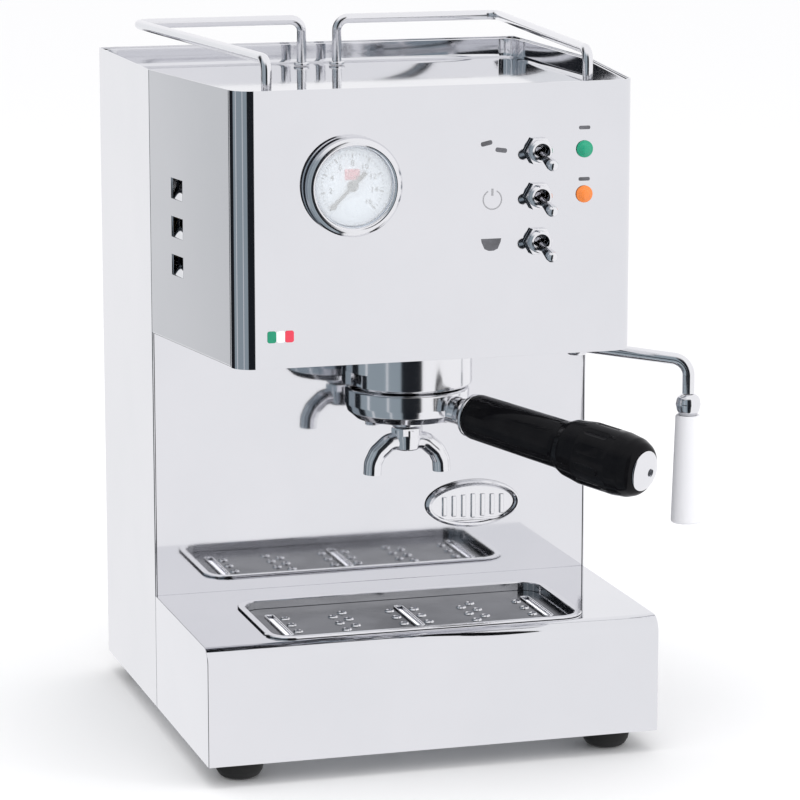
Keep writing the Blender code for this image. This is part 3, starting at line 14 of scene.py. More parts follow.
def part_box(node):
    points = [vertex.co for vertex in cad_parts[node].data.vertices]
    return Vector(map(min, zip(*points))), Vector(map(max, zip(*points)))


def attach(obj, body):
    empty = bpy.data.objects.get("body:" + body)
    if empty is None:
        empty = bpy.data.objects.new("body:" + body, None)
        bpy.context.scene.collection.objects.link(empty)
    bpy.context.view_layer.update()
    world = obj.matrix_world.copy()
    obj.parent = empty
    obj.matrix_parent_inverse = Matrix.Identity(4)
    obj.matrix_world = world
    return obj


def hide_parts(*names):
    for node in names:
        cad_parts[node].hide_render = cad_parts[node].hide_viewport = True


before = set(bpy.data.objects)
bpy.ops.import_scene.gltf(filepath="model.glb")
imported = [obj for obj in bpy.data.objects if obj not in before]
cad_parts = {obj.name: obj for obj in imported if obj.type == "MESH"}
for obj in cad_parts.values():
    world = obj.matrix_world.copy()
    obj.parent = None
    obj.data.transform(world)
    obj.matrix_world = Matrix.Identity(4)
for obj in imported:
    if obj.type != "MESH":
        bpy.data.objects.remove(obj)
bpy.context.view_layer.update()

logging.basicConfig(level=logging.INFO, format="%(name)s: %(message)s")
log = logging.getLogger("espresso_machine")

Pair = tuple[float, float]
Colour = tuple[float, float, float]
Work = bmesh.types.BMesh

SHEET = 0.001
FULL_TURN = 2 * math.pi
AXIS_Z = Vector((0, 0, 1))


class Operation(Enum):
    """What a Boolean does with its tool."""

    CUT = "DIFFERENCE"
    JOIN = "UNION"


class Side(Enum):
    """Left and right of the machine, as seen from its front."""

    LEFT = -1
    RIGHT = 1


# ---------------------------------------------------------------- shader effects and finishes


def new_group(name: str, inputs: Sequence[tuple[str, str, object]],
              outputs: Sequence[tuple[str, str]]) -> bpy.types.NodeTree:
    """Makes an empty shader node group with its sockets.

    Args:
        name: the group's name.
        inputs: name, socket type and default of each input.
        outputs: name and socket type of each output.

    Returns:
        The node tree, with its Group Input and Group Output in place.
    """
    tree = bpy.data.node_groups.new(name, "ShaderNodeTree")
    for label, kind, default in inputs:
        socket = tree.interface.new_socket(label, in_out="INPUT", socket_type=kind)
        socket.default_value = default
    for label, kind in outputs:
        tree.interface.new_socket(label, in_out="OUTPUT", socket_type=kind)
    tree.nodes.new("NodeGroupInput")
    tree.nodes.new("NodeGroupOutput")
    return tree


class Effects:
    """The shader effects that several finishes share, each built once."""

    def __init__(self) -> None:
        """Builds the groups."""
        self.marks = self._marks()
        self.grain = self._grain()

    @staticmethod
    def _marks() -> bpy.types.NodeTree:
        """Soft handling marks: a clouded value between a low and a high one.

        Returns:
            The node group.
        """
        tree = new_group(
            "handling_marks",
            [("Vector", "NodeSocketVector", (0, 0, 0)), ("Scale", "NodeSocketFloat", 20.0),
             ("Low", "NodeSocketFloat", 0.05), ("High", "NodeSocketFloat", 0.12)],
            [("Value", "NodeSocketFloat"), ("Mask", "NodeSocketFloat")],
        )
        given, out = tree.nodes["Group Input"], tree.nodes["Group Output"]
        cloud = tree.nodes.new("ShaderNodeTexNoise")
        cloud.inputs["Detail"].default_value = 5.0
        cloud.inputs["Roughness"].default_value = 0.62
        spread = tree.nodes.new("ShaderNodeMapRange")
        spread.inputs["From Min"].default_value = 0.34
        spread.inputs["From Max"].default_value = 0.68
        between = tree.nodes.new("ShaderNodeMapRange")
        links = tree.links
        links.new(given.outputs["Vector"], cloud.inputs["Vector"])
        links.new(given.outputs["Scale"], cloud.inputs["Scale"])
        links.new(cloud.outputs["Fac"], spread.inputs["Value"])
        links.new(spread.outputs["Result"], between.inputs["Value"])
        links.new(given.outputs["Low"], between.inputs["To Min"])
        links.new(given.outputs["High"], between.inputs["To Max"])
        links.new(between.outputs["Result"], out.inputs["Value"])
        links.new(spread.outputs["Result"], out.inputs["Mask"])
        return tree

    @staticmethod
    def _grain() -> bpy.types.NodeTree:
        """A fine grain, stretched along an axis as polishing or moulding leaves it.

        Returns:
            The node group.
        """
        tree = new_group(
            "surface_grain",
            [("Vector", "NodeSocketVector", (0, 0, 0)), ("Stretch", "NodeSocketVector", (1, 1, 1)),
             ("Scale", "NodeSocketFloat", 400.0)],
            [("Height", "NodeSocketFloat")],
        )
        given, out = tree.nodes["Group Input"], tree.nodes["Group Output"]
        multiply = tree.nodes.new("ShaderNodeVectorMath")
        multiply.operation = "MULTIPLY"
        fine = tree.nodes.new("ShaderNodeTexNoise")
        fine.inputs["Detail"].default_value = 2.0
        links = tree.links
        links.new(given.outputs["Vector"], multiply.inputs[0])
        links.new(given.outputs["Stretch"], multiply.inputs[1])
        links.new(multiply.outputs["Vector"], fine.inputs["Vector"])
        links.new(given.outputs["Scale"], fine.inputs["Scale"])
        links.new(fine.outputs["Fac"], out.inputs["Height"])
        return tree


EFFECTS = Effects()


@dataclass(frozen=True)
class Finish:
    """A surface finish: two close colours that drift into each other, marks in the gloss, and a grain."""

    name: str
    colour: Colour
    drift: Colour
    metallic: float = 0.0
    roughness: Pair = (0.3, 0.4)
    marks_scale: float = 25.0
    grain_scale: float = 500.0
    grain_stretch: Colour = (1.0, 1.0, 1.0)
    grain_depth: float = 0.00002
    grain_strength: float = 0.2
    specular: float = 0.5
    coat: float = 0.0
    transmission: float = 0.0
    refraction: float = 1.45
    alpha: float = 1.0
    glow: float = 0.0

    def material(self) -> bpy.types.Material:
        """Builds the material once, and gives it back after that.

        Returns:
            The material.
        """
        known = bpy.data.materials.get(self.name)
        if known is not None:
            return known
        material = bpy.data.materials.new(self.name)
        material.use_nodes = True
        tree = material.node_tree
        shader = tree.nodes["Principled BSDF"]
        shader.inputs["Metallic"].default_value = self.metallic
        shader.inputs["Specular IOR Level"].default_value = self.specular
        shader.inputs["Coat Weight"].default_value = self.coat
        shader.inputs["Coat Roughness"].default_value = 0.03
        shader.inputs["Transmission Weight"].default_value = self.transmission
        shader.inputs["IOR"].default_value = self.refraction
        shader.inputs["Alpha"].default_value = self.alpha
        place = tree.nodes.new("ShaderNodeTexCoord")
        marks = tree.nodes.new("ShaderNodeGroup")
        marks.node_tree = EFFECTS.marks
        marks.inputs["Scale"].default_value = self.marks_scale
        marks.inputs["Low"].default_value = self.roughness[0]
        marks.inputs["High"].default_value = self.roughness[1]
        blend = tree.nodes.new("ShaderNodeMix")
        blend.data_type = "RGBA"
        blend.inputs["A"].default_value = (*self.colour, 1.0)
        blend.inputs["B"].default_value = (*self.drift, 1.0)
        links = tree.links
        links.new(place.outputs["Object"], marks.inputs["Vector"])
        links.new(marks.outputs["Mask"], blend.inputs["Factor"])
        links.new(blend.outputs["Result"], shader.inputs["Base Color"])
        links.new(marks.outputs["Value"], shader.inputs["Roughness"])
        # Emission: lamp light for the two lenses, painted glow for the dial, the tray liner and the milky
        # plastic.
        if self.glow:
            links.new(blend.outputs["Result"], shader.inputs["Emission Color"])
            shader.inputs["Emission Strength"].default_value = self.glow
        if self.grain_strength:
            grain = tree.nodes.new("ShaderNodeGroup")
            grain.node_tree = EFFECTS.grain
            grain.inputs["Stretch"].default_value = self.grain_stretch
            grain.inputs["Scale"].default_value = self.grain_scale
            bump = tree.nodes.new("ShaderNodeBump")
            bump.inputs["Strength"].default_value = self.grain_strength
            bump.inputs["Distance"].default_value = self.grain_depth
            links.new(place.outputs["Object"], grain.inputs["Vector"])
            links.new(grain.outputs["Height"], bump.inputs["Height"])
            links.new(bump.outputs["Normal"], shader.inputs["Normal"])
        return material


class Finishes(Enum):
    """Every finish on the machine."""

    MIRROR_STEEL = Finish(
        "mirror_steel", (0.80, 0.80, 0.825), (0.77, 0.775, 0.80), 1.0, (0.035, 0.075), 9.0,
        900.0, (1.0, 1.0, 0.06), 0.000004, 0.12)
    SIDE_STEEL = Finish(
        "side_steel", (0.79, 0.79, 0.81), (0.76, 0.765, 0.785), 1.0, (0.05, 0.10), 9.0,
        900.0, (1.0, 1.0, 0.06), 0.000004, 0.15)
    CHROME = Finish(
        "chrome", (0.90, 0.90, 0.91), (0.86, 0.865, 0.88), 1.0, (0.02, 0.05), 60.0,
        300.0, (1.0, 1.0, 1.0), 0.000003, 0.1)
    PLATE_STEEL = Finish(
        "drip_plate_steel", (0.105, 0.110, 0.125), (0.082, 0.087, 0.100), 1.0, (0.16, 0.26), 40.0,
        700.0, (0.05, 1.0, 1.0), 0.00001, 0.3)
    INNER_STEEL = Finish(
        "inner_steel", (0.55, 0.555, 0.57), (0.46, 0.465, 0.48), 1.0, (0.22, 0.38), 18.0,
        500.0, (1.0, 0.1, 1.0), 0.00001, 0.3)
    # The tray liner's white glows: painted light that makes the plate's holes read bright.
    TRAY_WHITE_PAINTED_GLOW = Finish(
        "tray_enamel_painted_glow", (0.90, 0.90, 0.92), (0.82, 0.82, 0.85), 0.0, (0.2, 0.3), 30.0, glow=0.9)
    BLACK_GLOSS = Finish(
        "black_gloss", (0.004, 0.004, 0.005), (0.007, 0.007, 0.008), 0.0, (0.07, 0.11), 90.0,
        1200.0, (1.0, 1.0, 1.0), 0.000006, 0.12, specular=0.10)
    BLACK_PLASTIC = Finish(
        "black_plastic", (0.012, 0.012, 0.013), (0.020, 0.020, 0.022), 0.0, (0.35, 0.5), 50.0,
        1500.0, (1.0, 1.0, 1.0), 0.00003, 0.5)
    RUBBER = Finish(
        "rubber", (0.012, 0.012, 0.013), (0.022, 0.022, 0.024), 0.0, (0.45, 0.65), 70.0,
        1800.0, (1.0, 1.0, 1.0), 0.00004, 0.6, specular=0.3)
    BRASS = Finish(
        "brass", (0.66, 0.49, 0.22), (0.52, 0.36, 0.15), 1.0, (0.22, 0.42), 35.0,
        600.0, (1.0, 1.0, 0.2), 0.00002, 0.4)
    COPPER = Finish(
        "copper_pipe", (0.72, 0.38, 0.25), (0.55, 0.27, 0.17), 1.0, (0.2, 0.4), 45.0)
    # The dial's enamel glows faintly: painted light.
    DIAL = Finish(
        "dial_enamel_painted_glow", (0.80, 0.86, 0.94), (0.76, 0.82, 0.91), 0.0, (0.25, 0.35), 60.0, glow=0.10)
    DIAL_INK = Finish("dial_ink", (0.10, 0.11, 0.13), (0.16, 0.17, 0.19), 0.0, (0.4, 0.5), 200.0)
    DIAL_RED = Finish("dial_red", (0.86, 0.20, 0.26), (0.80, 0.15, 0.22), 0.0, (0.4, 0.5), 200.0)
    PANEL_INK = Finish("panel_ink", (0.10, 0.10, 0.11), (0.16, 0.16, 0.18), 0.0, (0.4, 0.5), 150.0)
    NEEDLE = Finish("needle_black", (0.010, 0.012, 0.016), (0.02, 0.022, 0.026), 0.0, (0.3, 0.4), 80.0)
    GLASS = Finish(
        "clear_glass", (0.97, 0.98, 1.0), (0.95, 0.97, 1.0), 0.0, (0.0, 0.02), 40.0,
        grain_strength=0.0, specular=0.3, alpha=0.07)
    CLEAR_PLASTIC = Finish(
        "clear_plastic", (0.86, 0.91, 0.95), (0.80, 0.87, 0.92), 0.0, (0.08, 0.16), 25.0,
        grain_strength=0.0, transmission=0.85, refraction=1.30)
    # The milky plastic glows faintly: painted light.
    MILKY = Finish(
        "milky_plastic", (0.90, 0.90, 0.93), (0.86, 0.86, 0.90), 0.0, (0.30, 0.42), 45.0,
        900.0, (1.0, 1.0, 0.1), 0.00002, 0.3, glow=0.12)
    GREY_PLASTIC = Finish(
        "grey_plastic", (0.30, 0.31, 0.33), (0.24, 0.25, 0.27), 0.0, (0.4, 0.55), 40.0,
        1400.0, (1.0, 1.0, 1.0), 0.00004, 0.5)
    GREEN_LENS = Finish(
        "green_lens", (0.0, 0.100, 0.070), (0.0, 0.080, 0.055), 0.0, (0.06, 0.12), 120.0,
        coat=0.3, glow=0.06)
    ORANGE_LENS = Finish(
        "orange_lens", (0.70, 0.042, 0.005), (0.62, 0.034, 0.004), 0.0, (0.06, 0.12), 120.0,
        coat=0.3, glow=0.12)
    PANEL_GREY = Finish("panel_grey", (0.36, 0.36, 0.38), (0.42, 0.42, 0.44), 0.0, (0.4, 0.5), 150.0)
    ENAMEL_GREEN = Finish(
        "enamel_green", (0.0, 0.30, 0.16), (0.0, 0.26, 0.14), 0.0, (0.12, 0.2), 150.0, coat=0.4)
    ENAMEL_WHITE = Finish(
        "enamel_white", (0.93, 0.93, 0.95), (0.90, 0.90, 0.92), 0.0, (0.12, 0.2), 150.0, coat=0.4)
    ENAMEL_RED = Finish(
        "enamel_red", (0.84, 0.05, 0.10), (0.78, 0.04, 0.08), 0.0, (0.12, 0.2), 150.0, coat=0.4)

    @property
    def material(self) -> bpy.types.Material:
        """The finish's material."""
        return self.value.material()


# ---------------------------------------------------------------- mesh craft


def aim(place: Vector | Sequence[float], direction: Vector | Sequence[float]) -> Matrix:
    """A matrix that puts local Z along a direction at a place."""
    turn = Vector(direction).to_track_quat("Z", "Y").to_matrix().to_4x4()
    return Matrix.Translation(Vector(place)) @ turn


def moved(work: Work, matrix: Matrix) -> Work:
    """Transforms a whole bmesh and gives it back."""
    bmesh.ops.transform(work, matrix=matrix, verts=work.verts)
    return work


def lathe(profile: Sequence[Pair], steps: int = 96) -> Work:
    """Spins a section round local Z.

    Args:
        profile: radius and height pairs along the section.
        steps: facets in a full turn.

    Returns:
        The turned shape, with its seam and poles merged.
    """
    work = bmesh.new()
    verts = [work.verts.new((radius, 0.0, height)) for radius, height in profile]
    edges = [work.edges.new(ends) for ends in zip(verts, verts[1:])]
    bmesh.ops.spin(work, geom=verts + edges, axis=AXIS_Z, cent=(0, 0, 0), angle=FULL_TURN,
                   steps=steps, use_merge=True)
    bmesh.ops.remove_doubles(work, verts=work.verts, dist=1e-7)
    bmesh.ops.recalc_face_normals(work, faces=work.faces)
    return work


def soft_corners(profile: Sequence[Pair], radius: float, steps: int = 4) -> list[Pair]:
    """Rounds the inner corners of a section.

    Args:
        profile: the section's points.
        radius: the arcs' radius, which the legs beside a corner limit.
        steps: facets of each arc.

    Returns:
        The section with arcs for corners.
    """
    flat = [Vector((x, y, 0.0)) for x, y in profile]
    return [(point.x, point.y) for point in bent_path(flat, radius, steps)]


def bent_path(points: Sequence[Vector], radius: float, steps: int = 6) -> list[Vector]:
    """A path whose inner corners are arcs of a radius, limited by the legs beside them."""
    corners = [Vector(point) for point in points]
    path = [corners[0]]
    for before, corner, after in zip(corners, corners[1:], corners[2:]):
        into = (before - corner).normalized()
        out = (after - corner).normalized()
        half = into.angle(out) / 2
        if half > math.radians(89.5):
            path.append(corner)
            continue
        reach = min(radius / math.tan(half), (before - corner).length * 0.45,
                    (after - corner).length * 0.45)
        centre = corner + (into + out).normalized() * (reach / math.cos(half))
        start = corner + into * reach - centre
        end = corner + out * reach - centre
        sweep = start.angle(end)
        for step in range(steps + 1):
            share = step / steps
            first = math.sin((1 - share) * sweep) / math.sin(sweep)
            last = math.sin(share * sweep) / math.sin(sweep)
            path.append(centre + start * first + end * last)
    path.append(corners[-1])
    return path


def tube(points: Sequence[Vector], radius: float | Sequence[float], sides: int = 6) -> Work:
    """A round bar along a path, capped at both ends.

    Args:
        points: the path.
        radius: the bar's radius, or one for each point.
        sides: the bevel resolution, where 6 gives 28 facets round.

    Returns:
        The bar.
    """
    curve = bpy.data.curves.new("path", "CURVE")
    curve.dimensions = "3D"
    curve.bevel_resolution = sides
    curve.use_fill_caps = True
    curve.bevel_depth = 1.0
    spline = curve.splines.new("POLY")
    spline.points.add(len(points) - 1)
    radii = [radius] * len(points) if isinstance(radius, float) else radius
    for point, place, width in zip(spline.points, points, radii):
        point.co = (*place, 1.0)
        point.radius = width
    return from_curve(curve)


def from_curve(curve: bpy.types.Curve) -> Work:
    """Turns curve data into a bmesh and removes the curve."""
    holder = bpy.data.objects.new("path", curve)
    bpy.context.scene.collection.objects.link(holder)
    bpy.context.view_layer.update()
    mesh = bpy.data.meshes.new_from_object(holder.evaluated_get(bpy.context.evaluated_depsgraph_get()))
    bpy.data.objects.remove(holder)
    work = bmesh.new()
    work.from_mesh(mesh)
    bpy.data.meshes.remove(mesh)
    bmesh.ops.remove_doubles(work, verts=work.verts, dist=1e-6)
    bmesh.ops.recalc_face_normals(work, faces=work.faces)
    return work


def plate(outlines: Sequence[Sequence[Pair]], thickness: float, bevel: float, segments: int = 2) -> Work:
    """A flat plate in X and Y with holes, its edges eased all round, centred on Z = 0.

    Args:
        outlines: the outer outline and then the holes.
        thickness: the whole thickness.
        bevel: how much of every edge is eased.
        segments: facets of the eased edge.

    Returns:
        The plate.
    """
    curve = bpy.data.curves.new("plate", "CURVE")
    curve.dimensions = "2D"
    curve.fill_mode = "BOTH"
    curve.extrude = thickness / 2 - bevel
    curve.bevel_depth = bevel
    curve.bevel_resolution = segments
    curve.offset = -bevel
    for outline in outlines:
        spline = curve.splines.new("POLY")
        spline.points.add(len(outline) - 1)
        for point, (x, y) in zip(spline.points, outline):
            point.co = (x, y, 0.0, 1.0)
        spline.use_cyclic_u = True
    return from_curve(curve)


def prism(outline: Sequence[Pair], low: float, high: float) -> Work:
    """A flat outline in X and Y, drawn up from one height to another."""
    work = bmesh.new()
    face = work.faces.new([work.verts.new((x, y, low)) for x, y in outline])
    grown = bmesh.ops.extrude_face_region(work, geom=[face])
    top = [item for item in grown["geom"] if isinstance(item, bmesh.types.BMVert)]
    bmesh.ops.translate(work, vec=(0, 0, high - low), verts=top)
    bmesh.ops.recalc_face_normals(work, faces=work.faces)
    return work


def block(low: Sequence[float], high: Sequence[float], bevel: float = 0.0, segments: int = 3) -> Work:
    """A block between two corners, with its edges rounded where a bevel is given."""
    work = bmesh.new()
    bmesh.ops.create_cube(work, size=1.0)
    bmesh.ops.scale(work, vec=Vector(high) - Vector(low), verts=work.verts)
    bmesh.ops.translate(work, vec=(Vector(high) + Vector(low)) / 2, verts=work.verts)
    if bevel > 0:
        bmesh.ops.bevel(work, geom=work.edges[:], offset=bevel, segments=segments, affect="EDGES",
                        profile=0.5, material=-1)
    return work


def drum(radius: float, low: float, high: float, sides: int = 48) -> Work:
    """An upright cylinder between two heights."""
    work = bmesh.new()
    bmesh.ops.create_cone(work, cap_ends=True, segments=sides, radius1=radius, radius2=radius,
                          depth=high - low)
    bmesh.ops.translate(work, vec=(0, 0, (high + low) / 2), verts=work.verts)
    return work


def rounded_rectangle(width: float, depth: float, radius: float, centre: Pair = (0.0, 0.0),
                      steps: int = 8) -> list[Pair]:
    """The points of a rectangle with round corners, anticlockwise."""
    points = []
    for turn, (sx, sy) in enumerate(((1, -1), (1, 1), (-1, 1), (-1, -1))):
        x = centre[0] + sx * (width / 2 - radius)
        y = centre[1] + sy * (depth / 2 - radius)
        for step in range(steps + 1):
            angle = math.radians(-90 + 90 * turn + 90 * step / steps)
            points.append((x + radius * math.cos(angle), y + radius * math.sin(angle)))
    return points


def ring(radius: float, steps: int = 24, centre: Pair = (0.0, 0.0)) -> list[Pair]:
    """The points of a circle."""
    turns = [FULL_TURN * step / steps for step in range(steps)]
    return [(centre[0] + radius * math.cos(turn), centre[1] + radius * math.sin(turn)) for turn in turns]


def shell(levels: Sequence[tuple[Sequence[Pair], float]]) -> Work:
    """Bridges outlines at their heights into one closed skin.

    Args:
        levels: outline and height of each level, all with as many points.

    Returns:
        The skin, capped at its first and last level.
    """
    work = bmesh.new()
    loops = [[work.verts.new((x, y, height)) for x, y in outline] for outline, height in levels]
    for lower, upper in zip(loops, loops[1:]):
        for number in range(len(lower)):
            after = (number + 1) % len(lower)
            work.faces.new((lower[number], lower[after], upper[after], upper[number]))
    work.faces.new(loops[0])
    work.faces.new(loops[-1])
    bmesh.ops.recalc_face_normals(work, faces=work.faces)
    return work


def as_object(work: Work, name: str = "blank") -> bpy.types.Object:
    """Puts a bmesh into a new linked object and frees it."""
    mesh = bpy.data.meshes.new(name)
    work.to_mesh(mesh)
    work.free()
    thing = bpy.data.objects.new(name, mesh)
    bpy.context.scene.collection.objects.link(thing)
    return thing


def with_modifiers(work: Work, *steps: Callable[[bpy.types.Object], None]) -> Work:
    """Runs modifiers over a bmesh.

    Args:
        work: the shape, which is used up.
        steps: functions that each add a modifier to the object they are given.

    Returns:
        The result as a new bmesh.
    """
    thing = as_object(work)
    for step in steps:
        step(thing)
    bpy.context.view_layer.update()
    mesh = bpy.data.meshes.new_from_object(thing.evaluated_get(bpy.context.evaluated_depsgraph_get()))
    bpy.data.objects.remove(thing)
    result = bmesh.new()
    result.from_mesh(mesh)
    bpy.data.meshes.remove(mesh)
    return result


def carved(work: Work, tools: Sequence[Work], operation: Operation = Operation.CUT) -> Work:
    """Cuts tools out of a shape, or joins them to it.

    Args:
        work: the shape, which is used up.
        tools: the other shapes, which are used up too.
        operation: cut or join.

    Returns:
        The result.
    """
    others = [as_object(tool, "tool") for tool in tools]

    def add(thing: bpy.types.Object) -> None:
        """Adds a Boolean for each tool."""
        for other in others:
            modifier = thing.modifiers.new("carve", "BOOLEAN")
            modifier.operation = operation.value
            modifier.solver = "EXACT"
            modifier.object = other

    result = with_modifiers(work, add)
    for other in others:
        bpy.data.objects.remove(other)
    return result


def thickened(work: Work, thickness: float = SHEET) -> Work:
    """Gives an open shell its sheet thickness, inwards."""

    def add(thing: bpy.types.Object) -> None:
        """Adds the Solidify."""
        modifier = thing.modifiers.new("thickness", "SOLIDIFY")
        modifier.thickness = thickness
        modifier.offset = -1.0
        modifier.use_even_offset = True

    return with_modifiers(work, add)


def eased(work: Work, width: float, segments: int = 2, angle: float = 40.0) -> Work:
    """Rounds every edge sharper than an angle."""

    def add(thing: bpy.types.Object) -> None:
        """Adds the Bevel."""
        modifier = thing.modifiers.new("ease", "BEVEL")
        modifier.width = width
        modifier.segments = segments
        modifier.limit_method = "ANGLE"
        modifier.angle_limit = math.radians(angle)
        modifier.profile = 0.5

    return with_modifiers(work, add)


@dataclass(frozen=True)
class Bench:
    """Places finished pieces, made in the machine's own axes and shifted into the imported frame."""

    shift: Vector

    @classmethod
    def from_frame(cls) -> "Bench":
        """Finds the machine's own origin: mid width, the column's front face, the ground."""
        base_low, base_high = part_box("base_cover")
        panel_low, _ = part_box("column_panel")
        return cls(Vector(((base_low.x + base_high.x) / 2, panel_low.y, 0.0)))

    def put(self, work: Work, name: str, finish: Finishes, body: str = "machine",
            stands_for: Sequence[str] = (), slot: str | None = None,
            crease: float = 32.0) -> bpy.types.Object:
        """Makes a piece out of a bmesh and hangs it on its body.

        Args:
            work: the shape, in the machine's own axes.
            name: the piece's name.
            finish: its finish.
            body: the CAD body it rides on.
            stands_for: the CAD nodes it stands for.
            slot: the record's material slot; not used.
            crease: edges sharper than this stay sharp, in degrees.

        Returns:
            The piece.
        """
        bmesh.ops.translate(work, vec=self.shift, verts=work.verts)
        thing = as_object(work, name)
        thing.data.shade_smooth()
        thing.data.set_sharp_from_angle(angle=math.radians(crease))
        thing.data.materials.append(finish.material)
        flat = thing.modifiers.new("flat_faces", "WEIGHTED_NORMAL")
        flat.keep_sharp = True
        flat.weight = 90
        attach(thing, body)
        if stands_for:
            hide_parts(*stands_for)
        log.info("%s rides on %s, %d faces", name, body, len(thing.data.polygons))
        return thing


# ---------------------------------------------------------------- the body


@dataclass
class Body:
    """The machine's overall sizes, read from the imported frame."""

    half: float = 0.125
    base_depth: float = 0.122
    base_top: float = 0.0755
    head_bottom: float = 0.2225
    top: float = 0.366
    head_depth: float = 0.1215
    column_depth: float = 0.130
    foot_height: float = 0.012
    front_half: float = 0.107

    @classmethod
    def measured(cls, bench: Bench) -> "Body":
        """Reads the sizes off the CAD boxes."""
        base_low, base_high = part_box("base_cover")
        head_low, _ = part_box("head_wrap")
        panel_low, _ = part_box("front_panel")
        _, column_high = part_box("column_wrap")
        return cls(
            half=(base_high.x - base_low.x) / 2,
            base_depth=bench.shift.y - base_low.y,
            base_top=base_high.z,
            head_bottom=head_low.z,
            top=column_high.z,
            head_depth=bench.shift.y - panel_low.y,
            column_depth=column_high.y - bench.shift.y,
            foot_height=base_low.z,
        )

    @property
    def taper(self) -> float:
        """The angle at which the head's sides close in, in radians."""
        return math.atan2(self.half - self.front_half, self.head_depth)

    def half_width(self, y: float, inset: float = 0.0) -> float:
        """Half the head's width at a depth, less an inset."""
        return self.half + y * math.tan(self.taper) - inset / math.cos(self.taper)


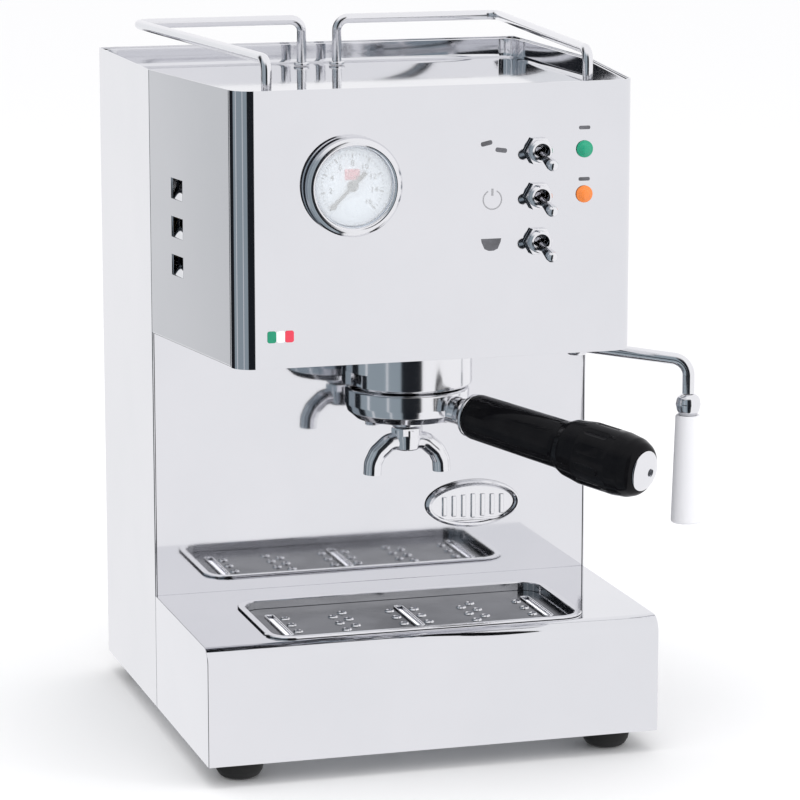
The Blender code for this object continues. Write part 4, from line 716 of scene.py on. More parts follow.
@dataclass
class Base:
    """The front box with its rolled lip, the drip tray and plate in it, and the feet."""

    bench: Bench
    body: Body
    lip: float = 0.0085
    recess: Pair = (0.172, 0.080)
    recess_y: float = -0.070
    recess_corner: float = 0.012
    foot_radius: float = 0.013
    foot_inset: float = 0.022
    slot_pitch: float = 0.073
    dot_pitch: float = 0.014
    slide: float = 0.0006

    def build(self) -> None:
        """Builds every piece of the base."""
        self.cover()
        self.feet()
        self.tray()
        self.grid()

    def cover(self) -> None:
        """The steel cover, its front edge rolled over in one bend."""
        b = self.body
        work = block((-b.half, -b.base_depth, b.foot_height), (b.half, -0.0003, b.base_top))
        hidden = [face for face in work.faces if face.normal.z < -0.9 or face.normal.y > 0.9]
        bmesh.ops.delete(work, geom=hidden, context="FACES")
        front_top = [edge for edge in work.edges
                     if all(v.co.y < -b.base_depth + 1e-5 and v.co.z > b.base_top - 1e-5
                            for v in edge.verts)]
        bmesh.ops.bevel(work, geom=front_top, offset=self.lip, segments=14, affect="EDGES", profile=0.5,
                        material=-1, clamp_overlap=True)
        work = thickened(work)
        hole = rounded_rectangle(*self.recess, self.recess_corner, (0.0, self.recess_y))
        work = carved(work, [prism(hole, b.base_top - 0.01, b.base_top + 0.01)])
        work = eased(work, 0.00035, 2, 50.0)
        self.bench.put(work, "base_shell", Finishes.MIRROR_STEEL, stands_for=["base_cover"],
                       slot="polished_steel")

    def feet(self) -> None:
        """Four round rubber feet with domed soles."""
        b = self.body
        top, radius = b.foot_height - 0.0003, self.foot_radius
        section = [(0.0, top), (radius, top), (radius, top * 0.62), (radius * 0.95, top * 0.36),
                   (radius * 0.82, top * 0.12), (radius * 0.62, 0.0), (0.0, 0.0)]
        section = soft_corners(section, 0.003, 5)
        front, rear = -b.base_depth + self.foot_inset, b.column_depth - self.foot_inset
        side = b.half - self.foot_inset
        for end, y in (("front", front), ("rear", rear)):
            for hand in Side:
                name = f"foot_{end}_{hand.name.lower()}"
                work = moved(lathe(section, 64), Matrix.Translation((hand.value * side, y, 0.0)))
                self.bench.put(work, name + "_rubber", Finishes.RUBBER, stands_for=[name], slot="rubber")

    def tray(self) -> None:
        """The drip tray: a pressed bowl that hangs in the opening by its thin rim."""
        low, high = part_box("drip_tray")
        seat = (0.0, self.recess_y)
        width, depth = self.recess[0] - 2 * self.slide, self.recess[1] - 2 * self.slide
        corner = self.recess_corner - self.slide
        reach = 0.003

        def at(inset: float) -> list[Pair]:
            """The bowl's outline, less an inset."""
            return rounded_rectangle(width - 2 * inset, depth - 2 * inset, corner - inset, seat)

        edge = self.body.base_top + 0.0003
        levels = [(at(0.004), low.z), (at(0.001), low.z + 0.001), (at(0.0), low.z + 0.004), (at(0.0), edge)]
        levels += [(at(-reach), edge), (at(-reach), high.z - 0.0003), (at(-reach + 0.0003), high.z)]
        levels += [(at(SHEET - 0.0004), high.z), (at(SHEET), high.z - 0.0004), (at(SHEET), low.z + 0.005)]
        levels += [(at(0.002), low.z + 0.002), (at(0.005), low.z + SHEET)]
        self.bench.put(shell(levels), "drip_tray_pressed", Finishes.CHROME, "drip_tray",
                       stands_for=["drip_tray"], slot="polished_steel")
        # A white liner in the bowl that glows with painted light, so that the plate's holes read bright.
        floor = shell([(at(0.006), low.z + SHEET + 0.0002), (at(SHEET + 0.0004), high.z - 0.0075),
                       (at(SHEET + 0.0008), high.z - 0.0075), (at(0.0068), low.z + SHEET + 0.0006)])
        self.bench.put(floor, "drip_tray_liner_painted_glow", Finishes.TRAY_WHITE_PAINTED_GLOW, "drip_tray")

    def grid(self) -> None:
        """The perforated plate: three slots, and rows of dots between them."""
        low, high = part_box("drip_grid")
        thickness = high.z - low.z
        inset = SHEET + 2 * self.slide
        size = (self.recess[0] - 2 * inset, self.recess[1] - 2 * inset)
        slots = [(number * self.slot_pitch, 0.0) for number in (-1, 0, 1)]
        stagger = self.dot_pitch / 4
        dots = []
        for hand in Side:
            middle = hand.value * self.slot_pitch / 2
            columns = [(-0.0295, 0.0), (0.0295, 0.0), (-0.0035, -stagger), (0.0035, stagger)]
            for offset, shift in columns:
                dots += [(middle + offset, row * self.dot_pitch + shift) for row in (-1, 0, 1)]
        outlines = [rounded_rectangle(*size, self.recess_corner - inset)]
        outlines += [rounded_rectangle(0.0036, 0.044, 0.0017, slot, 5) for slot in slots]
        outlines += [ring(0.0021, 18, dot) for dot in dots]
        work = plate(outlines, thickness, 0.00025)
        level = Matrix.Translation((0.0, self.recess_y, (low.z + high.z) / 2))
        self.bench.put(moved(work, level), "drip_plate", Finishes.PLATE_STEEL, "drip_grid",
                       stands_for=["drip_grid"], slot="plate_steel")
        raised = Matrix.Translation((0.0, self.recess_y, high.z))
        for number, dot in enumerate(dots):
            section = [(0.0013, -0.0004), (0.0013, 0.0004), (0.0018, 0.0008), (0.0024, 0.0006),
                       (0.0028, 0.0)]
            section += [(0.0021, 0.0), (0.0020, -0.0004), (0.0013, -0.0004)]
            eyelet = moved(lathe(section, 28), Matrix.Translation((*dot, 0.0)))
            self.bench.put(moved(eyelet, raised), f"drip_eyelet_{number:02d}", Finishes.CHROME, "drip_grid")
        for number, slot in enumerate(slots):
            lips = [rounded_rectangle(0.0056, 0.046, 0.0027, slot, 6),
                    rounded_rectangle(0.0034, 0.0438, 0.0016, slot, 6)]
            lip = moved(plate(lips, 0.0008, 0.0003), Matrix.Translation((0.0, 0.0, 0.0004)))
            self.bench.put(moved(lip, raised), f"drip_slot_lip_{number}", Finishes.CHROME, "drip_grid")


@dataclass
class Column:
    """The rear column with its vents, its screws and its oval badge."""

    bench: Bench
    body: Body
    corner: float = 0.003
    knob: tuple[float, float] = (0.045, 0.300)

    def build(self) -> None:
        """Builds the column's wrap, screws and badge."""
        self.wrap()
        self.screws()
        self.badge()

    def wrap(self) -> None:
        """The wrap round both sides and the back, bent at its rear corners."""
        b = self.body
        outside = [(-b.half, 0.0), (-b.half, b.column_depth), (b.half, b.column_depth), (b.half, 0.0)]
        path = soft_corners(outside, self.corner, 8)
        inset = b.half - SHEET
        inside = soft_corners([(inset, 0.0), (inset, b.column_depth - SHEET),
                               (-inset, b.column_depth - SHEET),
                               (-inset, 0.0)], self.corner - SHEET, 8)
        work = prism(path + inside, b.foot_height, b.top)
        tools = []
        turn = Matrix.Translation((0, b.column_depth, 0)) @ Matrix.Rotation(math.radians(90), 4, "X")
        for row in range(6):
            slot = rounded_rectangle(0.060, 0.004, 0.0019, (0.0, b.top - 0.085 - row * 0.010), 6)
            tools.append(moved(prism(slot, -0.01, 0.01), turn))
        socket = rounded_rectangle(0.0286, 0.0206, 0.002, (-0.080, 0.045), 4)
        tools.append(moved(prism(socket, -0.01, 0.01), turn))
        tools.append(moved(drum(0.0055, -0.01, 0.01), aim((b.half, *self.knob), (1, 0, 0))))
        work = eased(carved(work, tools), 0.0003, 2, 50.0)
        self.bench.put(work, "column_shell", Finishes.SIDE_STEEL, stands_for=["column_wrap"],
                       slot="polished_steel")

    def screws(self) -> None:
        """Domed screws with hexagonal sockets in the back."""
        b = self.body
        section = soft_corners([(0.0, 0.0016), (0.0020, 0.0015), (0.0031, 0.0006), (0.0032, 0.0),
                                (0.0, 0.0)], 0.0006)
        for side in Side:
            for level, z in (("low", 0.075), ("high", b.top - 0.040)):
                place = aim((side.value * (b.half - 0.014), b.column_depth, z), (0, 1, 0))
                head = carved(lathe(section, 40), [prism(ring(0.0013, 6), 0.0008, 0.01)])
                self.bench.put(moved(head, place), f"rear_screw_{level}_{side.name.lower()}",
                               Finishes.CHROME)

    def badge(self) -> None:
        """An oval badge with a raised rim and plain ribs in place of lettering."""
        low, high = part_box("badge")
        centre = (low + high) / 2 - self.bench.shift
        width, height = high.x - low.x, high.z - low.z
        depth = high.y - low.y

        def oval(share: float, level: float) -> tuple[list[Pair], float]:
            """An oval at a share of the full size, and its level."""
            inset = (1 - share) * height / 2
            points = [(x * (width / 2 - inset), y * (height / 2 - inset)) for x, y in ring(1.0, 72)]
            return points, level

        levels = [oval(1.0, 0.0), oval(1.0, depth * 0.45), oval(0.97, depth * 0.8), oval(0.90, depth)]
        levels += [oval(0.83, depth * 0.92), oval(0.79, depth * 0.55), oval(0.70, depth * 0.45),
                   oval(0.3, depth * 0.5)]
        work = shell(levels)
        place = aim((centre.x, -0.0003, centre.z), (0, -1, 0))
        self.bench.put(moved(work, place), "badge_oval", Finishes.CHROME, stands_for=["badge"],
                       slot="chrome")
        for number in range(7):
            x = (number - 3) * 0.0056
            reach = height * (0.30 - 0.020 * abs(number - 3))
            rib = block((x - 0.0014, -reach, depth * 0.40), (x + 0.0014, reach * 0.7, depth * 0.78),
                        0.0006, 3)
            self.bench.put(moved(rib, place), f"badge_rib_{number}", Finishes.CHROME)
        bar = block((-0.017, -height * 0.36, depth * 0.40), (0.017, -height * 0.31, depth * 0.74), 0.0003,
                    2)
        self.bench.put(moved(bar, place), "badge_bar", Finishes.CHROME)


@dataclass
class Head:
    """The head over the cup space: slanted sides with gills, bent front panel and printed marks."""

    bench: Bench
    body: Body
    corner: float = 0.011
    seam: float = 0.0105
    group_y: float = -0.066
    wand: Pair = (0.104, -0.045)
    gauge_x: float = -0.0465
    gauge_drop: float = 0.050
    switch_x: float = 0.0545
    switch_drop: float = 0.0355
    switch_pitch: float = 0.0237
    lamp_x: float = 0.080
    louvre_length: float = 0.016
    louvre_half: float = 0.0055
    louvre_sink: float = 0.0040

    def build(self) -> None:
        """Builds the head's sheet metal and its printing."""
        self.wrap()
        self.front()
        self.marks()
        self.band()

    def louvre_place(self, side: Side, number: int) -> Matrix:
        """The frame of a gill, on the slanted side at its rear edge."""
        b = self.body
        y = -0.031
        z = b.top - 0.060 - number * 0.0205
        turn = Matrix.Rotation(-side.value * b.taper, 4, "Z")
        return Matrix.Translation((side.value * b.half_width(y), y, z)) @ turn

    def wrap(self) -> None:
        """Both sides and the floor in one bent sheet, with flaps pressed in for the gills."""
        b = self.body
        rear, seam = -0.0003 - SHEET * math.sin(b.taper), -b.head_depth + self.seam
        outline = [(-b.half_width(rear), rear), (-b.half_width(seam), seam), (b.half_width(seam), seam),
                   (b.half_width(rear), rear)]
        work = prism(outline, b.head_bottom, b.top)
        hidden = [face for face in work.faces if face.normal.z > 0.9 or abs(face.normal.y) > 0.9]
        bmesh.ops.delete(work, geom=hidden, context="FACES")
        folds = [edge for edge in work.edges
                 if len(edge.link_faces) == 2 and all(v.co.z < b.head_bottom + 1e-5 for v in edge.verts)]
        bmesh.ops.bevel(work, geom=folds, offset=0.0012, segments=5, affect="EDGES", profile=0.5,
                        material=-1)
        work = thickened(work)
        tools = [moved(drum(0.0303, -0.01, 0.01, 96), Matrix.Translation((0, self.group_y, b.head_bottom)))]
        tools.append(moved(drum(0.0048, -0.01, 0.01), Matrix.Translation((*self.wand, b.head_bottom))))
        for side in Side:
            for number in range(3):
                mouth = block((-0.003, -self.louvre_length, -self.louvre_half),
                              (0.003, 0.0, self.louvre_half))
                tools.append(moved(mouth, self.louvre_place(side, number)))
        work = eased(carved(work, tools), 0.00025, 2, 50.0)
        self.bench.put(work, "head_shell", Finishes.SIDE_STEEL, stands_for=["head_wrap"],
                       slot="polished_steel")
        for side in Side:
            for number in range(3):
                self.flap(side, number)

    def flap(self, side: Side, number: int) -> None:
        """A gill's flap: it sinks from its hinge towards the rear, and deeper at its top than below."""
        work = bmesh.new()
        bmesh.ops.create_grid(work, x_segments=12, y_segments=8, size=1.0)
        length, half, sink = self.louvre_length, self.louvre_half, self.louvre_sink
        for vert in work.verts:
            along = (vert.co.x + 1) / 2
            up = (vert.co.y + 1) / 2
            depth = sink * along * (0.25 + 0.75 * up) * (3 - 2 * along) ** 0.35
            vert.co = (-side.value * depth, -length * (1 - along), half * (2 * up - 1))
        bmesh.ops.recalc_face_normals(work, faces=work.faces)
        if work.faces[:][0].normal.x * side.value < 0:
            bmesh.ops.reverse_faces(work, faces=work.faces)
        work = thickened(work, 0.0008)
        self.bench.put(moved(work, self.louvre_place(side, number)), f"gill_{side.name.lower()}_{number}",
                       Finishes.SIDE_STEEL)

    def front(self) -> None:
        """The front panel, bent round both corners, with its holes."""
        b = self.body

        def section(inset: float) -> list[Pair]:
            """The panel's plan, less an inset."""
            middle_y = -b.head_depth + self.corner
            middle_x = b.half_width(middle_y) - self.corner / math.cos(b.taper)
            seam = -b.head_depth + self.seam - 0.0006
            radius = self.corner - inset
            left = [(-b.half_width(seam, inset), seam)]
            for step in range(25):
                angle = math.radians(180) + b.taper + (math.radians(90) - b.taper) * step / 24
                left.append((-middle_x + radius * math.cos(angle), middle_y + radius * math.sin(angle)))
            return left + [(-x, y) for x, y in reversed(left)]

        work = prism(section(0.0) + list(reversed(section(SHEET))), b.head_bottom, b.top)
        tools = [self.hole(self.gauge_x, b.top - self.gauge_drop, 0.0205)]
        heights = [b.top - self.switch_drop - self.switch_pitch * number for number in range(3)]
        tools += [self.hole(self.switch_x, z, 0.0061) for z in heights]
        tools += [self.hole(self.lamp_x, z, 0.0040) for z in heights[:2]]
        work = eased(carved(work, tools), 0.0004, 3, 50.0)
        self.bench.put(work, "front_shell", Finishes.MIRROR_STEEL, stands_for=["front_panel"],
                       slot="polished_steel")

    def hole(self, x: float, z: float, radius: float) -> Work:
        """A tool for a round hole in the front."""
        return moved(drum(radius, -0.008, 0.008, 64), aim((x, -self.body.head_depth, z), (0, -1, 0)))

    def print_mark(self, work: Work, name: str, x: float, z: float,
                   finish: Finishes = Finishes.PANEL_INK) -> None:
        """Lays a thin printed shape, drawn in X and Y, on the front panel."""
        place = aim((x, -self.body.head_depth - 0.00006, z), (0, -1, 0))
        self.bench.put(moved(work, place), name, finish)

    def marks(self) -> None:
        """Generic signs by the switches: two bars, a power sign, a cup, and a bar over each lamp."""
        b = self.body
        heights = [b.top - self.switch_drop - self.switch_pitch * number for number in range(3)]
        x = 0.0280
        thin = 0.00012
        for name, dx, dz, tilt in (("on", -0.0017, 0.0047, 12.0), ("off", 0.0063, 0.0009, -8.0)):
            bar = plate([rounded_rectangle(0.0063, 0.0024, 0.0010, steps=4)], thin, 0.00002)
            bar = moved(bar, Matrix.Rotation(math.radians(tilt), 4, "Z"))
            self.print_mark(bar, "mark_" + name, x + dx, heights[0] + dz)
        arc = [Vector((0.0050 * math.cos(a), 0.0050 * math.sin(a), 0.0))
               for a in [math.radians(118 + 304 * step / 40) for step in range(41)]]
        sign = tube(arc, 0.00034, 3)
        stem = tube([Vector((0, 0.0020, 0)), Vector((0, 0.0058, 0))], 0.0006, 3)
        for work, name in ((sign, "mark_power_ring"), (stem, "mark_power_stem")):
            bmesh.ops.scale(work, vec=(1, 1, 0.12), verts=work.verts)
            self.print_mark(work, name, x + 0.0016, heights[1] - 0.0011, Finishes.PANEL_GREY)
        bowl = [(-0.0055, 0.0032), (-0.0052, 0.0014), (-0.0036, -0.0022), (-0.0014, -0.0032),
                (0.0014, -0.0032)]
        bowl += [(0.0036, -0.0022), (0.0052, 0.0014), (0.0055, 0.0032)]
        self.print_mark(plate([bowl], thin, 0.00002), "mark_cup", x + 0.0010, heights[2] - 0.0010)
        for number, z in enumerate(heights[:2]):
            bar = plate([rounded_rectangle(0.0062, 0.0019, 0.0008, steps=4)], thin, 0.00002)
            self.print_mark(bar, f"mark_lamp_{number}", self.lamp_x,
                            z + (0.0112 if number == 0 else 0.0079))

    def band(self) -> None:
        """A small enamel band in three colours, low on the left."""
        x, z, pitch = -0.0845, self.body.head_bottom + 0.0166, 0.0047
        colours = (("green", Finishes.ENAMEL_GREEN), ("white", Finishes.ENAMEL_WHITE),
                   ("red", Finishes.ENAMEL_RED))
        for number, (name, finish) in enumerate(colours):
            piece = plate([rounded_rectangle(pitch, 0.0062, 0.0012, steps=5)], 0.0004, 0.00012, 3)
            self.print_mark(piece, "band_" + name, x + (number - 1) * pitch, z, finish)


@dataclass
class CupTray:
    """The cup tray in the top, and its two bent rails."""

    bench: Bench
    body: Body
    rod: float = 0.00275
    bend: float = 0.0065

    def build(self) -> None:
        """Builds the tray and the rails."""
        self.tray()
        self.rails()

    def outline(self, inset: float) -> list[Pair]:
        """The plan of column and head, less an inset."""
        b = self.body
        front, rear = -b.head_depth + SHEET + inset, b.column_depth - SHEET - inset
        side, front_half = b.half - SHEET - inset, b.half_width(front, SHEET + inset)
        corners = [Vector((0.0, front, 0)), Vector((front_half, front, 0)), Vector((side, 0.0, 0))]
        corners += [Vector((side, rear, 0)), Vector((-side, rear, 0)), Vector((-side, 0.0, 0))]
        corners += [Vector((-front_half, front, 0)), Vector((0.0, front, 0))]
        radius = 0.0105 - inset
        return [(point.x, point.y) for point in bent_path(corners, radius, 8)[:-1]]

    def tray(self) -> None:
        """A pressed tray with low walls."""
        low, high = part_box("cup_tray")
        floor = low.z + SHEET
        levels = [(self.outline(0.0036), low.z), (self.outline(0.0014), low.z + 0.0008)]
        levels += [(self.outline(0.0006), low.z + 0.003), (self.outline(0.0006), high.z - 0.0003)]
        levels += [(self.outline(0.0009), high.z), (self.outline(0.0013), high.z)]
        levels += [(self.outline(0.0016), high.z - 0.0003), (self.outline(0.0016), floor + 0.0022)]
        levels += [(self.outline(0.0023), floor + 0.0007), (self.outline(0.0040), floor)]
        self.bench.put(shell(levels), "cup_tray_pressed", Finishes.MIRROR_STEEL, "cup_tray",
                       stands_for=["cup_tray"], slot="polished_steel")

    def rails(self) -> None:
        """Two polished rods, each bent up from the rear, round the corner and down in front."""
        b = self.body
        for side in Side:
            name = f"rail_{side.name.lower()}"
            low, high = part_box(name)
            top = high.z - self.rod
            hand = side.value
            rear_y, front_y = b.column_depth - 0.020, -b.head_depth + 0.016
            points = [(hand * 0.0105, rear_y, low.z), (hand * 0.0105, rear_y, top),
                      (hand * 0.107, rear_y, top)]
            points += [(hand * 0.087, front_y, top), (hand * 0.087, front_y, low.z)]
            path = bent_path([Vector(point) for point in points], self.bend, 12)
            self.bench.put(tube(path, self.rod, 8), name + "_rod", Finishes.CHROME, "cup_tray",
                           stands_for=[name], slot="chrome")
            for number, point in enumerate((points[0], points[-1])):
                collar = lathe(soft_corners([(self.rod + 0.0001, 0.0), (0.0046, 0.0), (0.0044, 0.0016),
                                             (self.rod + 0.0001, 0.0020)], 0.0005), 40)
                collar = moved(collar, Matrix.Translation(point))
                self.bench.put(collar, f"{name}_collar_{number}", Finishes.CHROME, "cup_tray")


# ---------------------------------------------------------------- group and portafilter


@dataclass
class Group:
    """The group head, the portafilter that locks into it, its twin spout and its handle."""

    bench: Bench
    body: Body
    centre_y: float = -0.066
    radius: float = 0.035
    collar: float = 0.0315
    shell_radius: float = 0.0335
    heading: float = 34.0
    droop: float = 7.5
    handle_start: float = 0.046
    handle_length: float = 0.116
    handle_radius: float = 0.0122
    bulb_radius: float = 0.0168
    spread: float = 0.0195
    lug_angle: float = 95.0
    unlock_angle: float = 75.0
    bottom: float = field(init=False)
    low: float = field(init=False)

    def __post_init__(self) -> None:
        """Reads the heights that the pieces hang on."""
        low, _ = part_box("group_head")
        self.low = low.z
        self.bottom = self.low - 0.0012 - 0.0175

    @property
    def place(self) -> Matrix:
        """The group's axis."""
        return Matrix.Translation((0.0, self.centre_y, 0.0))

    @property
    def along(self) -> Vector:
        """The handle's direction."""
        turn, dip = math.radians(self.heading), math.radians(self.droop)
        return Vector((math.sin(turn) * math.cos(dip), -math.cos(turn) * math.cos(dip), -math.sin(dip)))

    def build(self) -> None:
        """Builds group, portafilter, spout and handle."""
        self.head()
        self.portafilter()
        self.spout()
        self.handle()

    def head(self) -> None:
        """The chromed group, with the two openings where the portafilter's lugs go in."""
        top, low = self.body.head_bottom - 0.0003, self.low
        recess = low + 0.015
        r, c = self.radius, self.collar
        section = [(0.0, top + 0.006), (0.030, top + 0.006), (0.030, top), (r, top), (r, low + 0.0012)]
        section += [(r - 0.0012, low), (c + 0.0008, low), (c, low + 0.0008), (c, recess), (0.0, recess)]
        work = lathe(soft_corners(section, 0.0010, 4), 128)
        notch = block((-4 * r, -0.010, low - 0.010), (4 * r, 0.010, low + 0.0085))
        turn = Matrix.Rotation(math.radians(self.lug_angle - self.unlock_angle), 4, "Z")
        work = eased(carved(work, [moved(notch, turn)]), 0.0004, 2, 60.0)
        self.bench.put(moved(work, self.place), "group_casting", Finishes.CHROME, stands_for=["group_head"],
                       slot="chrome")

    def portafilter(self) -> None:
        """The filter holder: a chromed cup with a rolled shoulder, two lugs and the handle's neck."""
        seat_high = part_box("portafilter_body")[1].z
        shoulder, bottom, r = self.low - 0.0012, self.bottom, self.shell_radius
        neck, well = self.collar - 0.0025, 0.0273
        floor = bottom + 0.004
        section = [(0.0, floor), (well - 0.006, floor), (well, floor + 0.005), (well, seat_high),
                   (neck, seat_high)]
        section += [(neck, shoulder), (r - 0.0012, shoulder), (r, shoulder - 0.0012), (r, bottom + 0.0085)]
        section += [(r - 0.0012, bottom + 0.0045), (r - 0.0055, bottom + 0.0006), (0.0125, bottom - 0.0008)]
        section += [(0.0092, bottom - 0.0022), (0.0085, bottom - 0.005), (0.0, bottom - 0.005)]
        work = lathe(soft_corners(section, 0.0016, 5), 128)
        lugs = []
        for hand in Side:
            reach = self.collar - 0.0008
            ends = sorted((hand.value * (neck - 0.001), hand.value * reach))
            lug = block((ends[0], -0.006, seat_high - 0.005), (ends[1], 0.006, seat_high - 0.0012),
                        0.0006, 2)
            lugs.append(moved(lug, Matrix.Rotation(math.radians(self.lug_angle), 4, "Z")))
        work = carved(work, lugs + [self.shank()], Operation.JOIN)
        work = carved(work, [drum(0.0035, bottom - 0.01, floor + 0.01)])
        work = eased(work, 0.0006, 3, 48.0)
        self.bench.put(moved(work, self.place), "portafilter_cup", Finishes.CHROME, "portafilter",
                       stands_for=["portafilter_body"], slot="chrome")

    def root(self) -> Vector:
        """Where the neck leaves the cup, from the group's axis."""
        flat = Vector((self.along.x, self.along.y, 0.0))
        return Vector((0.0, 0.0, self.bottom + 0.0085)) + flat * (self.shell_radius - 0.006)

    def shank(self) -> Work:
        """The neck, which flares into the collar that holds the handle."""
        length = self.handle_start - self.shell_radius + 0.006
        collar = self.handle_radius - 0.0006
        section = [(0.0, length + 0.020), (0.0039, length + 0.020), (0.0039, length),
                   (collar - 0.0005, length)]
        section += [(collar, length - 0.0006), (collar, length - 0.0016), (0.0082, length - 0.0052)]
        section += [(0.0072, length - 0.0090), (0.0076, 0.003), (0.0090, 0.0), (0.0, 0.0)]
        return moved(lathe(soft_corners(section, 0.0022, 5), 72), aim(self.root(), self.along))

    def handle(self) -> None:
        """The black handle: a plain shaft that swells into a ribbed grip, and its domed cap."""
        length = self.handle_start - self.shell_radius + 0.006
        start = self.root() + self.along * length + Vector((0, self.centre_y, 0))
        base, tip = 0.0003, self.handle_length - 0.004
        bulb = tip - 0.050
        thin, fat = self.handle_radius, self.bulb_radius
        section = [(0.0, base + 0.030), (0.0042, base + 0.030), (0.0042, base), (thin - 0.0014, base)]
        section += [(thin - 0.0003, base + 0.0009), (thin, base + 0.0030), (thin + 0.0005, bulb - 0.012)]
        section += [(thin + 0.0006, bulb - 0.003), (thin + 0.0010, bulb), (thin + 0.0030, bulb + 0.0045)]
        section += [(fat - 0.0008, bulb + 0.010), (fat, bulb + 0.015), (fat, tip - 0.014)]
        section += [(fat - 0.0010, tip - 0.0065), (fat - 0.0030, tip - 0.0020), (fat - 0.0052, tip),
                    (0.0, tip)]
        work = lathe(soft_corners(section, 0.006, 6), 120)
        flutes = []
        for number in range(10):
            angle = FULL_TURN * (number + 0.35) / 10
            away = fat + 0.0062
            centre = Vector((away * math.cos(angle), away * math.sin(angle), 0.0))
            groove = tube([centre + Vector((0, 0, bulb + 0.012)), centre + Vector((0, 0, bulb + 0.018)),
                           centre + Vector((0, 0, tip - 0.020)), centre + Vector((0, 0, tip - 0.014))],
                          [0.0050, 0.0070, 0.0070, 0.0050], 6)
            flutes.append(groove)
        work = eased(carved(work, flutes), 0.0005, 3, 25.0)
        turn = aim(start, self.along)
        self.bench.put(moved(work, turn), "handle_grip", Finishes.BLACK_GLOSS, "portafilter",
                       stands_for=["handle"], slot="black_plastic", crease=45.0)
        cap_radius = fat - 0.0060
        cap = [(0.0, tip + 0.0044), (cap_radius * 0.35, tip + 0.0040), (cap_radius * 0.72, tip + 0.0026)]
        cap += [(cap_radius * 0.95, tip + 0.0010), (cap_radius, tip + 0.0003), (0.0, tip + 0.0003)]
        dome = carved(lathe(soft_corners(cap, 0.01, 6), 96), [drum(0.0023, tip + 0.0036, tip + 0.02)])
        self.bench.put(moved(dome, turn), "handle_cap_dome", Finishes.CHROME, "portafilter",
                       stands_for=["handle_cap"], slot="chrome")
        screw = carved(lathe([(0.0, tip + 0.0042), (0.0015, tip + 0.0042), (0.0020, tip + 0.0037),
                              (0.0020, tip + 0.0030), (0.0, tip + 0.0030)], 40),
                       [block((-0.003, -0.0003, tip + 0.0038), (0.003, 0.0003, tip + 0.006))])
        self.bench.put(moved(screw, turn), "handle_cap_screw", Finishes.PLATE_STEEL, "portafilter")

    def spout(self) -> None:
        """The twin spout: a hexagonal hub with two flattened legs that arch down and out."""
        top = self.bottom - 0.0053
        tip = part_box("twin_spout")[0].z
        arch = top - 0.0075
        s = self.spread
        points = [(-s, 0, tip), (-s + 0.0003, 0, tip + 0.006), (-s + 0.0030, 0, tip + 0.0115)]
        points += [(-s * 0.52, 0, arch - 0.0008), (-s * 0.22, 0, arch), (0, 0, arch), (s * 0.22, 0, arch)]
        points += [(s * 0.52, 0, arch - 0.0008), (s - 0.0030, 0, tip + 0.0115),
                   (s - 0.0003, 0, tip + 0.006)]
        points += [(s, 0, tip)]
        path = bent_path([Vector(point) for point in points], 0.006, 5)
        work = tube(path, 0.0048, 8)
        hub = lathe(soft_corners([(0.0, top), (0.0066, top), (0.0078, top - 0.0012), (0.0078, arch + 0.002),
                                  (0.0066, arch - 0.005), (0.0, arch - 0.0058)], 0.0012), 72)
        nut = prism(ring(0.0088, 6), top - 0.0042, top - 0.0004)
        work = carved(work, [hub, nut], Operation.JOIN)
        bores = [moved(drum(0.0037, tip - 0.004, tip + 0.008), Matrix.Translation((hand.value * s, 0, 0)))
                 for hand in Side]
        work = eased(carved(work, bores), 0.0005, 3, 42.0)
        self.bench.put(moved(work, self.place), "spout_casting", Finishes.CHROME, "portafilter",
                       stands_for=["twin_spout"], slot="chrome")


# ---------------------------------------------------------------- gauge and controls


